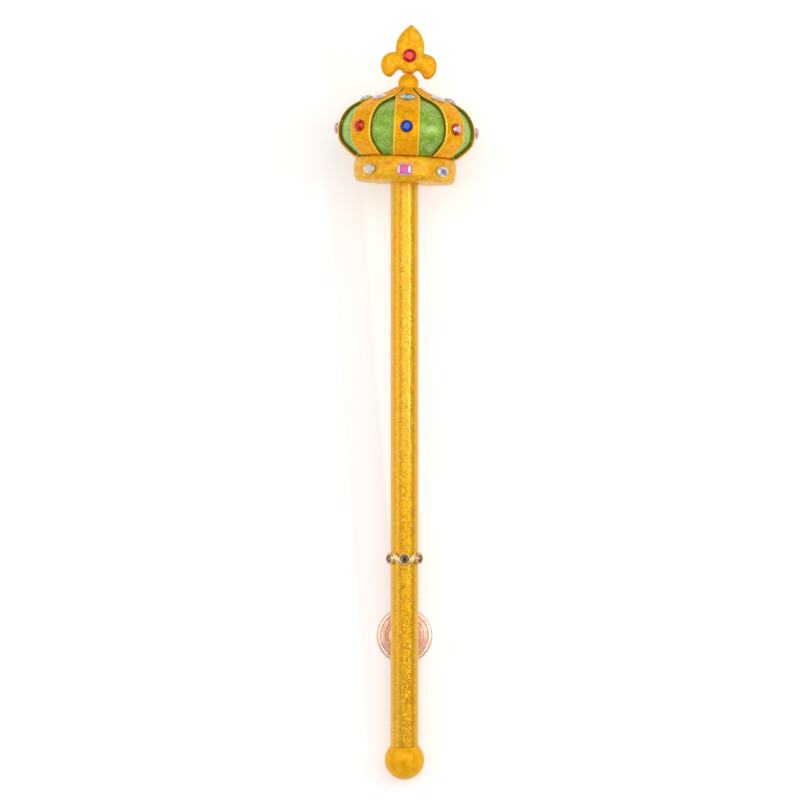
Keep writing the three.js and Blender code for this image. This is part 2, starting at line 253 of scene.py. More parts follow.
def lathe(profile: np.ndarray, sides: int) -> Surface:
    """A profile turned about z: the point (r, h) becomes (r sin a, -r cos a, h) for each angle a.

    Args:
        profile: array of radius and height; it starts and ends on the axis.
        sides: number of steps round the axis.

    Returns:
        The surface, whose first and last loops are closed by fans on the axis.
    """
    angle = np.linspace(0, 2 * math.pi, sides, endpoint=False)
    radius, height = profile[1:-1, 0, None], profile[1:-1, 1, None]
    loops = np.stack([
        radius * np.sin(angle), -radius * np.cos(angle), height + 0 * angle,
    ], axis=-1)
    surface = loft(loops)
    surface.points[-2] = (0, 0, profile[0, 1])
    surface.points[-1] = (0, 0, profile[-1, 1])
    return surface


def ring(section: np.ndarray, sides: int) -> Surface:
    """A closed section turned about z into a ring.

    Args:
        section: array of radius and height, a closed loop that stays off the axis.
        sides: number of steps round the axis.

    Returns:
        The surface.
    """
    angle = np.linspace(0, 2 * math.pi, sides, endpoint=False)[:, None]
    radius, height = section[:, 0], section[:, 1]
    points = np.stack([
        radius * np.sin(angle), -radius * np.cos(angle), height + 0 * angle,
    ], axis=-1)
    j, i = np.meshgrid(np.arange(sides), np.arange(len(section)), indexing="ij")
    wrap = len(section)
    corners = [(j, i), (j, i + 1), (j + 1, i + 1), (j + 1, i)]
    quads = np.stack([((a % sides) * wrap + b % wrap).ravel() for a, b in corners], axis=1)
    return Surface(points.reshape(-1, 3), [quads]).outward()


def rounded(points: np.ndarray, step: float) -> np.ndarray:
    """Evenly spaced points along a broken line.

    Args:
        points: the line's corners.
        step: the spacing wanted.

    Returns:
        Points a step apart along the line, with both ends.
    """
    run = np.concatenate([[0], np.cumsum(np.linalg.norm(np.diff(points, axis=0), axis=1))])
    where = np.linspace(0, run[-1], max(2, int(round(run[-1] / step)) + 1))
    return np.stack([np.interp(where, run, points[:, k]) for k in range(points.shape[1])], axis=1)


def arc(centre: tuple[float, float], radius: float, start: float, end: float, steps: int) -> np.ndarray:
    """Points on an arc, centre + radius (cos a, sin a).

    Args:
        centre: the arc's centre.
        radius: the arc's radius.
        start: first angle in degrees.
        end: last angle in degrees.
        steps: number of steps between them.

    Returns:
        Points from the first to the last angle.
    """
    angle = np.radians(np.linspace(start, end, steps + 1))
    return np.stack([centre[0] + radius * np.cos(angle), centre[1] + radius * np.sin(angle)], axis=1)


def spline(points: np.ndarray, share: np.ndarray) -> np.ndarray:
    """An even Catmull-Rom curve through points.

    Between points p1 and p2, with neighbours p0 and p3, the curve is the cubic with the slopes
    (p2 - p0) / 2 and (p3 - p1) / 2; the end points are their own outer neighbours.

    Args:
        points: the points that the curve passes.
        share: where on the curve, from 0 at the first point to 1 at the last.

    Returns:
        One place for each share.
    """
    last = len(points) - 1
    where = np.clip(share, 0, 1) * last
    k = np.minimum(where.astype(int), last - 1)
    t = (where - k)[:, None]
    p0, p1 = points[np.maximum(k - 1, 0)], points[k]
    p2, p3 = points[k + 1], points[np.minimum(k + 2, last)]
    v0, v1 = (p2 - p0) / 2, (p3 - p1) / 2
    cubed, squared = 2 * p1 - 2 * p2 + v0 + v1, -3 * p1 + 3 * p2 - 2 * v0 - v1
    return cubed * t**3 + squared * t**2 + v0 * t + p1


def bezier(points: np.ndarray, steps: int) -> np.ndarray:
    """A cubic curve from its four control points, without its first point.

    Args:
        points: start, two controls and end.
        steps: number of steps.

    Returns:
        Points along the curve.
    """
    t = np.linspace(0, 1, steps + 1)[1:, None]
    a, b, c, d = points
    return a * (1 - t) ** 3 + 3 * b * t * (1 - t) ** 2 + 3 * c * t**2 * (1 - t) + d * t**3


def lumps(points: np.ndarray, size: float, seed: int, waves: int = 28) -> np.ndarray:
    """A smooth random field: the mean of sine waves that run in random directions.

    Args:
        points: where to read the field.
        size: rough width of a lump.
        seed: seed of the directions and phases.
        waves: number of waves.

    Returns:
        Values that mostly lie between -1 and 1.
    """
    random = np.random.default_rng(seed)
    heading = random.normal(size=(3, waves))
    heading *= math.pi / size / np.linalg.norm(heading, axis=0) * random.uniform(0.7, 1.4, waves)
    phase = random.uniform(0, 2 * math.pi, waves)
    return np.sin(points @ heading + phase).sum(axis=1) / math.sqrt(waves / 2) * 0.5


def build(name: str, surface: Surface, material: bpy.types.Material, smooth: bool = True) -> bpy.types.Object:
    """Puts a surface into the scene.

    Args:
        name: the piece's name.
        surface: its surface, in the world.
        material: its finish.
        smooth: False for cut facets.

    Returns:
        The new object, at the origin, unturned and unscaled.
    """
    mesh = bpy.data.meshes.new(name)
    faces = [row for part in surface.faces for row in part.tolist()]
    mesh.from_pydata(surface.points.tolist(), [], faces)
    for key, value in surface.values.items():
        mesh.attributes.new(key, "FLOAT", "POINT").data.foreach_set("value", value.astype(np.float32))
    if surface.tones is not None:
        tone = mesh.attributes.new("tone", "FLOAT", "FACE")
        tone.data.foreach_set("value", surface.tones.astype(np.float32))
    mesh.polygons.foreach_set("use_smooth", np.full(len(mesh.polygons), smooth))
    mesh.materials.append(material)
    mesh.update()
    piece = bpy.data.objects.new(name, mesh)
    bpy.context.scene.collection.objects.link(piece)
    return piece


def hand_over(piece: bpy.types.Object, node: str) -> None:
    """Lets a piece stand for a CAD node, on the one body that the sceptre has.

    Args:
        piece: the visible piece.
        node: the CAD node that it replaces.
    """
    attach(piece, ROOT)
    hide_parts(node)
    LOG.info("%s stands for %s, %d faces", piece.name, node, len(piece.data.polygons))


# ------------------------------------------------------------------------------ node tools


Socket = bpy.types.NodeSocket
Colour = tuple[float, float, float]


class Nodes:
    """Places and links shader nodes in one node tree."""

    def __init__(self, tree: bpy.types.NodeTree) -> None:
        """Keeps the tree and starts the row of nodes at its left."""
        self.tree = tree
        self.count = 0

    def add(self, kind: str, **inputs: object) -> bpy.types.Node:
        """Adds a node and fills its inputs.

        Args:
            kind: the node's type, such as "ShaderNodeMath".
            **inputs: values or sockets by input name, with _ for a space, or settings of the node.

        Returns:
            The node.
        """
        node = self.tree.nodes.new(kind)
        self.count += 1
        node.location = (180 * (self.count % 12), -220 * (self.count // 12))
        for key, value in inputs.items():
            name = key.replace("_", " ")
            if name in node.inputs:
                self.fill(node.inputs[name], value)
            else:
                setattr(node, key, value)
        return node

    def fill(self, socket: Socket, value: object) -> None:
        """Links a socket to an input, or sets the input's own value.

        Args:
            socket: the input.
            value: an output to link, or a number, vector or colour.
        """
        if isinstance(value, bpy.types.NodeSocket):
            self.tree.links.new(value, socket)
        elif isinstance(value, tuple) and len(value) == 3 and socket.type == "RGBA":
            socket.default_value = (*value, 1.0)
        else:
            socket.default_value = value

    def math(self, operation: str, first: object, second: object = 0.0, third: object = 0.0) -> Socket:
        """Adds a Math node.

        Args:
            operation: what it does.
            first: its first number or socket.
            second: its second one.
            third: its third one, where the operation has it.

        Returns:
            The result.
        """
        node = self.add("ShaderNodeMath", operation=operation)
        for socket, value in zip(node.inputs, (first, second, third)):
            self.fill(socket, value)
        return node.outputs[0]

    def vector(
        self, operation: str, first: object, second: object = (0.0, 0.0, 0.0), scale: object = 1.0,
    ) -> Socket:
        """Adds a Vector Math node.

        Args:
            operation: what it does.
            first: its first vector or socket.
            second: its second one, for every operation but SCALE.
            scale: the factor of SCALE.

        Returns:
            The vector that comes out.
        """
        node = self.add("ShaderNodeVectorMath", operation=operation)
        self.fill(node.inputs[0], first)
        if operation == "SCALE":
            self.fill(node.inputs["Scale"], scale)
        else:
            self.fill(node.inputs[1], second)
        return node.outputs["Vector"]

    def mix(self, share: object, first: object, second: object, blend: str = "MIX") -> Socket:
        """Adds a Mix node for colours.

        Args:
            share: how much of the second colour shows, from 0 to 1.
            first: the colour at 0.
            second: the colour at 1.
            blend: how the second colour is laid on.

        Returns:
            The mixed colour.
        """
        node = self.add("ShaderNodeMix", data_type="RGBA", blend_type=blend)
        self.fill(node.inputs["Factor"], share)
        self.fill(node.inputs[6], first)
        self.fill(node.inputs[7], second)
        return node.outputs[2]

    def spread(
        self, value: object, low: float, high: float, to_low: float = 0.0, to_high: float = 1.0,
    ) -> Socket:
        """Takes a value smoothly from one range to another and keeps it inside.

        Args:
            value: the value.
            low: the value that becomes to_low.
            high: the value that becomes to_high.
            to_low: the result at low and beyond.
            to_high: the result at high and beyond.

        Returns:
            The new value.
        """
        node = self.add("ShaderNodeMapRange", interpolation_type="SMOOTHSTEP")
        for socket, entry in zip(node.inputs, (value, low, high, to_low, to_high)):
            self.fill(socket, entry)
        return node.outputs[0]

    def place(self) -> Socket:
        """Object coordinates, in metres."""
        return self.add("ShaderNodeTexCoord").outputs["Object"]

    def attribute(self, name: str) -> Socket:
        """A value that the mesh holds."""
        return self.add("ShaderNodeAttribute", attribute_name=name).outputs["Fac"]


def node_group(name: str, inputs: dict[str, tuple[str, object]], outputs: dict[str, str]) -> tuple:
    """Starts a shader node group.

    Args:
        name: the group's name.
        inputs: type and default by input name.
        outputs: type by output name.

    Returns:
        The group, its Nodes, the group's input node and its output node.
    """
    group = bpy.data.node_groups.new(name, "ShaderNodeTree")
    for key, (kind, value) in inputs.items():
        socket = group.interface.new_socket(key, in_out="INPUT", socket_type=f"NodeSocket{kind}")
        if value is not None:
            socket.default_value = value
    for key, kind in outputs.items():
        group.interface.new_socket(key, in_out="OUTPUT", socket_type=f"NodeSocket{kind}")
    nodes = Nodes(group)
    return group, nodes, nodes.add("NodeGroupInput"), nodes.add("NodeGroupOutput")


def make_flake_group() -> bpy.types.NodeTree:
    """The group for glitter: flat flakes, each one cell of a Voronoi pattern with its own tilt.

    Inputs are Size, the width of a flake in metres, and Tilt, how far flakes lean. Normal is the
    surface's normal plus the cell's random vector times Tilt, Shade is the cell's random value,
    and Glint is 1 on the few cells whose random value is highest.

    Returns:
        The group.
    """
    group, nodes, source, target = node_group(
        "glitter_flakes",
        {"Size": ("Float", 0.0006), "Tilt": ("Float", 0.5), "Share": ("Float", 0.06)},
        {"Shade": "Float", "Glint": "Float", "Normal": "Vector"},
    )
    scale = nodes.math("DIVIDE", 1.0, source.outputs["Size"])
    scaled = nodes.vector("SCALE", nodes.place(), scale=scale)
    cells = nodes.add("ShaderNodeTexVoronoi", Vector=scaled, Scale=1.0, Randomness=1.0)
    parts = nodes.add("ShaderNodeSeparateColor", Color=cells.outputs["Color"]).outputs
    centred = nodes.vector("SUBTRACT", cells.outputs["Color"], (0.5, 0.5, 0.5))
    lean = nodes.vector("SCALE", centred, scale=source.outputs["Tilt"])
    normal = nodes.add("ShaderNodeNewGeometry").outputs["Normal"]
    tilted = nodes.vector("NORMALIZE", nodes.vector("ADD", normal, lean))
    limit = nodes.math("SUBTRACT", 1.0, source.outputs["Share"])
    nodes.fill(target.inputs["Shade"], parts["Red"])
    nodes.fill(target.inputs["Glint"], nodes.math("GREATER_THAN", parts["Green"], limit))
    nodes.fill(target.inputs["Normal"], tilted)
    return group


def make_mottle_group() -> bpy.types.NodeTree:
    """The group for soft unevenness: one value of smooth noise at a given size.

    Returns:
        The group.
    """
    group, nodes, source, target = node_group(
        "soft_mottle",
        {"Size": ("Float", 0.005), "Contrast": ("Float", 1.0), "Offset": ("Float", 0.0)},
        {"Value": "Float"},
    )
    moved = nodes.vector("ADD", nodes.place(), source.outputs["Offset"])
    scale = nodes.math("DIVIDE", 1.0, source.outputs["Size"])
    scaled = nodes.vector("SCALE", moved, scale=scale)
    noise = nodes.add("ShaderNodeTexNoise", Vector=scaled, Scale=1.0, Detail=3.0)
    centred = nodes.math("SUBTRACT", noise.outputs["Fac"], 0.5)
    stretched = nodes.math("MULTIPLY_ADD", centred, source.outputs["Contrast"], 0.5)
    nodes.fill(target.inputs["Value"], nodes.add("ShaderNodeClamp", Value=stretched).outputs[0])
    return group


class Effect(Enum):
    """The node groups that several finishes share."""

    FLAKES = "glitter_flakes"
    MOTTLE = "soft_mottle"


MAKERS = {Effect.FLAKES: make_flake_group, Effect.MOTTLE: make_mottle_group}


def effect(nodes: Nodes, kind: Effect, **inputs: object) -> bpy.types.Node:
    """Places a shared node group in a material, building it the first time.

    Args:
        nodes: the material's nodes.
        kind: which group.
        **inputs: values or sockets by input name.

    Returns:
        The group node.
    """
    tree = bpy.data.node_groups.get(kind.value) or MAKERS[kind]()
    node = nodes.add("ShaderNodeGroup")
    node.node_tree = tree
    for key, value in inputs.items():
        nodes.fill(node.inputs[key], value)
    return node


def start_material(name: str) -> tuple[bpy.types.Material, Nodes, bpy.types.Node]:
    """A new material with a Principled shader.

    Args:
        name: the material's name.

    Returns:
        The material, its Nodes and the shader node.
    """
    material = bpy.data.materials.new(name)
    material.use_nodes = True
    material.node_tree.nodes.clear()
    nodes = Nodes(material.node_tree)
    shader = nodes.add("ShaderNodeBsdfPrincipled")
    output = nodes.add("ShaderNodeOutputMaterial")
    nodes.fill(output.inputs["Surface"], shader.outputs["BSDF"])
    return material, nodes, shader


# ------------------------------------------------------------------------------ finishes


@dataclass(frozen=True)
class Glitter:
    """Glitter glued on a coloured ground."""

    name: str
    deep: Colour
    bright: Colour
    glint: Colour
    # Walls: their own brown, darkened with painted shade.
    side: Colour
    edge: Colour
    flake: float = 0.9 * MM
    tilt: float = 0.36
    share: float = 0.03
    metallic: float = 0.4
    patch: float = 5 * MM
    contrast: float = 2.6
    film: float = 0.0
    seed: float = 0.0

    def material(self) -> bpy.types.Material:
        """Ground colour between deep and bright by patches and flakes; by the mesh's edge value, beads in the
        edge colour and walls in the side colour, which is painted shade over their own brown.

        Returns:
            The material.
        """
        material, nodes, shader = start_material(self.name)
        flakes = effect(nodes, Effect.FLAKES, Size=self.flake, Tilt=self.tilt, Share=self.share)
        coarse = effect(nodes, Effect.FLAKES, Size=self.flake * 2.6, Tilt=self.tilt * 0.6, Share=self.share)
        patches = effect(nodes, Effect.MOTTLE, Size=self.patch, Contrast=self.contrast, Offset=self.seed)
        by_patch = nodes.math("MULTIPLY", patches.outputs["Value"], 0.7)
        share = nodes.math("MULTIPLY_ADD", flakes.outputs["Shade"], 0.3, by_patch)
        ground = nodes.mix(nodes.add("ShaderNodeClamp", Value=share).outputs[0], self.deep, self.bright)
        edge = nodes.attribute("edge")
        on_edge = nodes.math("MULTIPLY", nodes.spread(edge, 0.80, 0.90), nodes.spread(edge, 1.06, 1.02))
        ground = nodes.mix(on_edge, ground, self.edge)
        # Painted shade: edge values above 1, on the walls, give the side colour.
        ground = nodes.mix(nodes.spread(edge, 1.02, 1.10), ground, self.side)
        ground = nodes.mix(nodes.math("MULTIPLY", flakes.outputs["Glint"], 0.6), ground, self.glint)
        nodes.fill(shader.inputs["Base Color"], ground)
        nodes.fill(shader.inputs["Roughness"], nodes.spread(coarse.outputs["Shade"], 0, 1, 0.38, 0.62))
        film = nodes.spread(coarse.outputs["Shade"], 0, 1, self.film * 0.3, self.film)
        nodes.fill(shader.inputs["Coat Weight"], film)
        shader.inputs["Coat Roughness"].default_value = 0.26
        both = nodes.vector("ADD", flakes.outputs["Normal"], coarse.outputs["Normal"])
        nodes.fill(shader.inputs["Normal"], nodes.vector("NORMALIZE", both))
        shader.inputs["Metallic"].default_value = self.metallic
        shader.inputs["Specular IOR Level"].default_value = 0.12
        return material


@dataclass(frozen=True)
class Foil:
    """Shiny foil full of fine glitter, wrapped round a rod."""

    name: str
    deep: Colour
    bright: Colour
    glint: Colour
    flake: float = 0.8 * MM
    tilt: float = 0.24
    metallic: float = 0.75

    def material(self) -> bpy.types.Material:
        """Fine tilted flakes under a thin clear film, with long soft patches.

        Returns:
            The material.
        """
        material, nodes, shader = start_material(self.name)
        fine = effect(nodes, Effect.FLAKES, Size=self.flake, Tilt=self.tilt, Share=0.03)
        broad = effect(nodes, Effect.MOTTLE, Size=9 * MM, Contrast=1.6, Offset=0.3)
        by_patch = nodes.math("MULTIPLY", broad.outputs["Value"], 0.6)
        share = nodes.math("MULTIPLY_ADD", fine.outputs["Shade"], 0.4, by_patch)
        ground = nodes.mix(share, self.deep, self.bright)
        ground = nodes.mix(nodes.math("MULTIPLY", fine.outputs["Glint"], 0.4), ground, self.glint)
        nodes.fill(shader.inputs["Base Color"], ground)
        nodes.fill(shader.inputs["Roughness"], nodes.spread(broad.outputs["Value"], 0, 1, 0.24, 0.4))
        nodes.fill(shader.inputs["Normal"], fine.outputs["Normal"])
        shader.inputs["Metallic"].default_value = self.metallic
        shader.inputs["Specular IOR Level"].default_value = 0.12
        shader.inputs["Coat Weight"].default_value = 0.6
        shader.inputs["Coat Roughness"].default_value = 0.09
        return material


@dataclass(frozen=True)
class Paint:
    """Gold paint on a smooth ball, with faint orange peel."""

    name: str
    deep: Colour
    bright: Colour

    def material(self) -> bpy.types.Material:
        """Soft patches of two golds, and a fine uneven skin.

        Returns:
            The material.
        """
        material, nodes, shader = start_material(self.name)
        patches = effect(nodes, Effect.MOTTLE, Size=6 * MM, Contrast=2.6, Offset=0.7)
        peel = effect(nodes, Effect.MOTTLE, Size=0.9 * MM, Contrast=1.6, Offset=0.1)
        nodes.fill(shader.inputs["Base Color"], nodes.mix(patches.outputs["Value"], self.deep, self.bright))
        nodes.fill(shader.inputs["Roughness"], nodes.spread(patches.outputs["Value"], 0, 1, 0.34, 0.5))
        bump = nodes.add("ShaderNodeBump", Strength=0.35, Distance=0.12 * MM, Height=peel.outputs["Value"])
        nodes.fill(shader.inputs["Normal"], bump.outputs["Normal"])
        shader.inputs["Metallic"].default_value = 0.2
        shader.inputs["Specular IOR Level"].default_value = 0.12
        shader.inputs["Coat Weight"].default_value = 0.06
        shader.inputs["Coat Roughness"].default_value = 0.2
        return material


@dataclass(frozen=True)
class Metal:
    """Plated metal with light tarnish in patches."""

    name: str
    plain: Colour
    dull: Colour
    roughness: float = 0.2

    def material(self) -> bpy.types.Material:
        """Metal colour that dulls in soft patches, where it is rougher too.

        Returns:
            The material.
        """
        material, nodes, shader = start_material(self.name)
        patches = effect(nodes, Effect.MOTTLE, Size=4 * MM, Contrast=2.2, Offset=0.5)
        grain = effect(nodes, Effect.MOTTLE, Size=0.5 * MM, Contrast=1.5, Offset=0.9)
        nodes.fill(shader.inputs["Base Color"], nodes.mix(patches.outputs["Value"], self.plain, self.dull))
        rough = nodes.spread(patches.outputs["Value"], 0, 1, self.roughness, self.roughness + 0.14)
        nodes.fill(shader.inputs["Roughness"], rough)
        bump = nodes.add("ShaderNodeBump", Strength=0.2, Distance=0.05 * MM, Height=grain.outputs["Value"])
        nodes.fill(shader.inputs["Normal"], bump.outputs["Normal"])
        shader.inputs["Metallic"].default_value = 1.0
        return material


@dataclass(frozen=True)
class Stone:
    """A foil-backed stone: its colour runs from the rim facets to the table, with painted shade on dark
    facets and a painted glint, the flash, on the brightest.
    """

    name: str
    rim: Colour
    table: Colour
    flash: Colour
    shade: float = 0.3
    metallic: float = 0.45

    def material(self) -> bpy.types.Material:
        """Each facet holds a tone: below 0 it is dark with painted shade, 0 is the rim, 1 the table and 2 a
        flash, a painted glint.

        Returns:
            The material.
        """
        material, nodes, shader = start_material(self.name)
        tone = nodes.attribute("tone")
        cloud = effect(nodes, Effect.MOTTLE, Size=1.6 * MM, Contrast=1.8, Offset=0.2)
        # Painted shade: dark facets take the rim colour times shade.
        dark = tuple(self.shade * value for value in self.rim)
        colour = nodes.mix(nodes.spread(tone, -1, 0), dark, self.rim)
        colour = nodes.mix(nodes.spread(tone, 0, 1), colour, self.table)
        colour = nodes.mix(nodes.spread(tone, 1, 2), colour, self.flash)
        shade = nodes.spread(cloud.outputs["Value"], 0, 1, 0.75, 1.0)
        grey = nodes.add("ShaderNodeCombineColor", Red=shade, Green=shade, Blue=shade)
        colour = nodes.mix(1.0, colour, grey.outputs[0], "MULTIPLY")
        nodes.fill(shader.inputs["Base Color"], colour)
        nodes.fill(shader.inputs["Roughness"], nodes.spread(cloud.outputs["Value"], 0, 1, 0.06, 0.16))
        shader.inputs["Metallic"].default_value = self.metallic
        shader.inputs["Coat Weight"].default_value = 0.35
        shader.inputs["Coat Roughness"].default_value = 0.06
        return material


class Finish(Enum):
    """All finishes of the sceptre."""

    FOIL = Foil("wrapped foil", (0.72, 0.32, 0.001), (0.94, 0.49, 0.003), (1.0, 0.9, 0.3))
    GOLD = Glitter(
        "strap glitter", (0.90, 0.27, 0.001), (1.0, 0.56, 0.003),
        # side: the straps' brown walls with painted shade.
        glint=(1.0, 0.80, 0.15), side=(0.20, 0.13, 0.006), edge=(1.0, 0.68, 0.05),
    )
    BAND = Glitter(
        "circlet glitter", (0.80, 0.29, 0.001), (1.0, 0.60, 0.008),
        glint=(1.0, 0.85, 0.25), side=(0.30, 0.17, 0.02), edge=(1.0, 0.60, 0.04), film=0.5, seed=0.4,
    )
    LILY = Glitter(
        "finial glitter", (0.84, 0.31, 0.002), (1.0, 0.58, 0.02),
        # edge: painted shade along the finial's outline.
        glint=(1.0, 0.80, 0.2), side=(0.25, 0.16, 0.02), edge=(0.50, 0.34, 0.02), seed=0.8,
    )
    GREEN = Glitter(
        "panel glitter", (0.16, 0.35, 0.015), (0.44, 0.64, 0.08),
        glint=(0.75, 0.92, 0.55), side=(0.04, 0.14, 0.02), edge=(0.1, 0.3, 0.04),
        share=0.04, patch=7 * MM, film=1.0,
    )
    PAINT = Paint("ball paint", (0.88, 0.36, 0.002), (1.0, 0.54, 0.008))
    PALE = Metal("cast gold", (0.98, 0.76, 0.42), (0.84, 0.54, 0.25), 0.24)
    ROSE = Metal("turned rose gold", (0.96, 0.76, 0.64), (0.84, 0.56, 0.44), 0.26)
    RED = Stone("red foil-backed stone", (0.66, 0.008, 0.004), (0.97, 0.045, 0.02), (1.0, 0.16, 0.05))
    # Its pale table is a painted highlight on the red stone.
    RUBY = Stone("ruby foil-backed stone", (0.50, 0.01, 0.015), (0.95, 0.62, 0.60), (1.0, 0.80, 0.78))
    BLUE = Stone("blue foil-backed stone", (0.004, 0.025, 0.22), (0.008, 0.08, 0.46), (0.05, 0.22, 0.75))
    PINK = Stone("pink foil-backed stone", (0.95, 0.55, 0.66), (0.62, 0.06, 0.34), (1.0, 0.75, 0.85))
    CANDY = Stone("candy foil-backed stone", (0.90, 0.46, 0.54), (0.86, 0.40, 0.56), (1.0, 0.8, 0.85), 0.55)
    BLUSH = Stone("blush foil-backed stone", (0.97, 0.80, 0.74), (0.98, 0.88, 0.84), (1.0, 0.95, 0.94), 0.7)
    AQUA = Stone("aqua foil-backed stone", (0.62, 0.86, 0.80), (0.04, 0.25, 0.27), (0.95, 1.0, 0.98))
    CLEAR = Stone("clear foil-backed stone", (0.80, 0.58, 0.28), (1.0, 0.97, 0.88), (1.0, 1.0, 0.97), 0.7)
    MAUVE = Stone("mauve foil-backed stone", (0.92, 0.86, 0.80), (0.34, 0.26, 0.36), (1.0, 0.97, 0.95), 0.6)
    ICE = Stone("ice foil-backed stone", (0.58, 0.64, 0.66), (0.72, 0.77, 0.79), (0.9, 0.95, 1.0), 0.6)
    SMOKE = Stone(
        "smoke foil-backed stone", (0.36, 0.29, 0.15), (0.035, 0.032, 0.014), (0.25, 0.22, 0.12), 0.5,
    )

    def material(self) -> bpy.types.Material:
        """The finish's material, made the first time that it is asked for."""
        return bpy.data.materials.get(self.value.name) or self.value.material()


# ------------------------------------------------------------------------------ shaft and grip


@dataclass
class Shaft:
    """The foil-covered rod and the painted ball that it is pushed into."""

    place: Place
    radius: float = 12.6 * MM
    start: float = 14 * MM
    end: float = 579 * MM
    chamfer: float = 0.8 * MM
    ball_radius: float = 17.8 * MM
    gap: float = 0.3 * MM

    def rod(self) -> Surface:
        """A rod whose radius wavers by a few hundredths of a millimetre along and round it.

        Returns:
            The surface, in the world.
        """
        inner = self.radius - self.chamfer
        profile = np.array([
            [0, self.start], [inner, self.start], [self.radius, self.start + self.chamfer],
            [self.radius, self.end - self.chamfer], [inner, self.end], [0, self.end],
        ])
        surface = lathe(rounded(profile, 2.4 * MM), 96)
        wave = lumps(surface.points * (1, 1, 0.35), 6 * MM, 11)
        return surface.pushed(wave * 0.05 * MM).placed(self.place)

    def butt(self) -> Surface:
        """A ball with a round socket: the rod's radius plus the gap gives the socket's mouth.

        Returns:
            The surface, in the world, flattened where it lies on the floor.
        """
        bore = self.radius + self.gap
        mouth = math.asin(bore / self.ball_radius)
        angle = np.linspace(0, math.pi - mouth, 48)
        skin = np.stack([self.ball_radius * np.sin(angle), self.ball_radius * (1 - np.cos(angle))], axis=1)
        socket = np.array([[bore, self.start - self.gap], [0, self.start - self.gap]])
        surface = lathe(np.vstack([skin, rounded(np.vstack([skin[-1:], socket]), 2 * MM)[1:]]), 96)
        return surface.placed(self.place).above_floor()

    def make(self) -> None:
        """Builds both pieces."""
        hand_over(build("foil_shaft", self.rod(), Finish.FOIL.material()), "shaft")
        hand_over(build("painted_ball", self.butt(), Finish.PAINT.material()), "pommel_ball")


@dataclass
class GripRing:
    """The cast ring with its round settings, leaves and small stones."""

    place: Place
    height: float = 199 * MM
    inner: float = 12.9 * MM
    outer: float = 14.4 * MM
    width: float = 4.6 * MM
    settings: int = 6
    cup_radius: float = 5.3 * MM
    reach: float = 16.6 * MM
    stone_radius: float = 3.5 * MM
    leaf: tuple[float, float, float] = (2.5 * MM, 1.7 * MM, 6.5 * MM)
    slant: float = math.radians(32)

    def band(self) -> Surface:
        """A ring with a rounded outer side: radius = outer - depth (h / half)^2.

        Returns:
            The band's surface, in the ring's frame.
        """
        half = self.width / 2
        level = np.linspace(-half, half, 13)
        skin = np.stack([self.outer - 0.9 * MM * (level / half) ** 2, level], axis=1)
        back = np.stack([np.full(5, self.inner), np.linspace(half, -half, 5)], axis=1)
        return ring(np.vstack([skin, back]), 96)

    def cup(self) -> Surface:
        """A round setting: a flared wall, a beaded rim and a shallow seat for the stone.

        Returns:
            The cup along +Z, its rim at height 0.
        """
        r, deep = self.cup_radius, self.reach - self.outer + 1.2 * MM
        rim = arc((r * 0.82, -0.5 * MM), 0.5 * MM, 0, 180, 8)
        profile = np.vstack([
            [[0, -deep], [r * 0.98, -deep], [r, -deep + 0.5 * MM], [r * 0.93, -1.1 * MM]], rim,
            [[r * 0.70, -0.8 * MM], [0, -0.8 * MM]],
        ])
        surface = lathe(profile, 40)
        angle = np.arctan2(surface.points[:, 1], surface.points[:, 0])
        at_rim = np.exp(-((np.hypot(*surface.points[:, :2].T) - r * 0.9) / (0.5 * MM)) ** 2)
        near_top = surface.points[:, 2] > -1.0 * MM
        return surface.pushed(0.14 * MM * np.cos(16 * angle) * at_rim * near_top)

    def blade(self) -> Surface:
        """A leaf: an ellipsoid whose sides pull in to points, with a groove down the middle.

        At the share t of its length its girth is (1 - t^2)^0.75 of the widest.

        Returns:
            The leaf along +Z, its groove at the front.
        """
        wide, thick, long = self.leaf
        angle = np.linspace(0, 2 * math.pi, 24, endpoint=False)
        t = np.linspace(-0.985, 0.985, 25)[:, None]
        girth = (1 - t**2) ** 0.75
        x = wide * girth * np.sin(angle)
        y = -thick * girth * np.cos(angle)
        y = y + 0.5 * MM * girth * np.exp(-((x / (0.5 * MM)) ** 2)) * (np.cos(angle) > 0)
        return loft(np.stack([x, y, long * t + 0 * angle], axis=-1))

    def around(self, surface: Surface, turn: float, tip: bool) -> Surface:
        """Turns a part round the grip.

        Args:
            surface: the part, at the front, in the ring's frame.
            turn: the angle round the shaft.
            tip: whether the part was made along +Z and has to look outwards first.

        Returns:
            The part in its place.
        """
        points = surface.points
        if tip:
            points = np.stack([points[:, 0], -points[:, 2], points[:, 1]], axis=1)
        surface.points = points @ about_z(turn)
        return surface.outward()

    def casting(self) -> Surface:
        """The band with a cup at each setting and a slanting leaf after it, their slants in turn.

        Returns:
            One surface, in the ring's frame.
        """
        parts = [self.band()]
        for index in range(self.settings):
            cup = self.cup()
            cup.points[:, 2] += self.reach
            parts.append(self.around(cup, 2 * math.pi * index / self.settings, True))
            slant = -self.slant if index % 2 else self.slant
            leaf = self.blade()
            x, z = leaf.points[:, 0].copy(), leaf.points[:, 2].copy()
            leaf.points[:, 0] = x * math.cos(slant) + z * math.sin(slant)
            leaf.points[:, 2] = z * math.cos(slant) - x * math.sin(slant) + 0.6 * MM
            leaf.points[:, 1] -= self.outer
            parts.append(self.around(leaf, 2 * math.pi * (index + 0.5) / self.settings, False))
        return joined(parts)

    def make(self) -> None:
        """Builds the casting and the stones."""
        place = self.place.inner(self.height)
        piece = build("cast_ring", self.casting().placed(place), Finish.PALE.material())
        hand_over(piece, "grip_ring")
        for index in range(self.settings):
            stone = Brilliant(self.stone_radius, 1.5 * MM).surface(index)
            stone.points[:, 2] += self.reach - 0.3 * MM
            stone = self.around(stone, 2 * math.pi * index / self.settings, True).placed(place)
            piece = build(f"dark_stone_{index + 1}", stone, Finish.SMOKE.material(), smooth=False)
            hand_over(piece, f"ring_stone_{index + 1}")


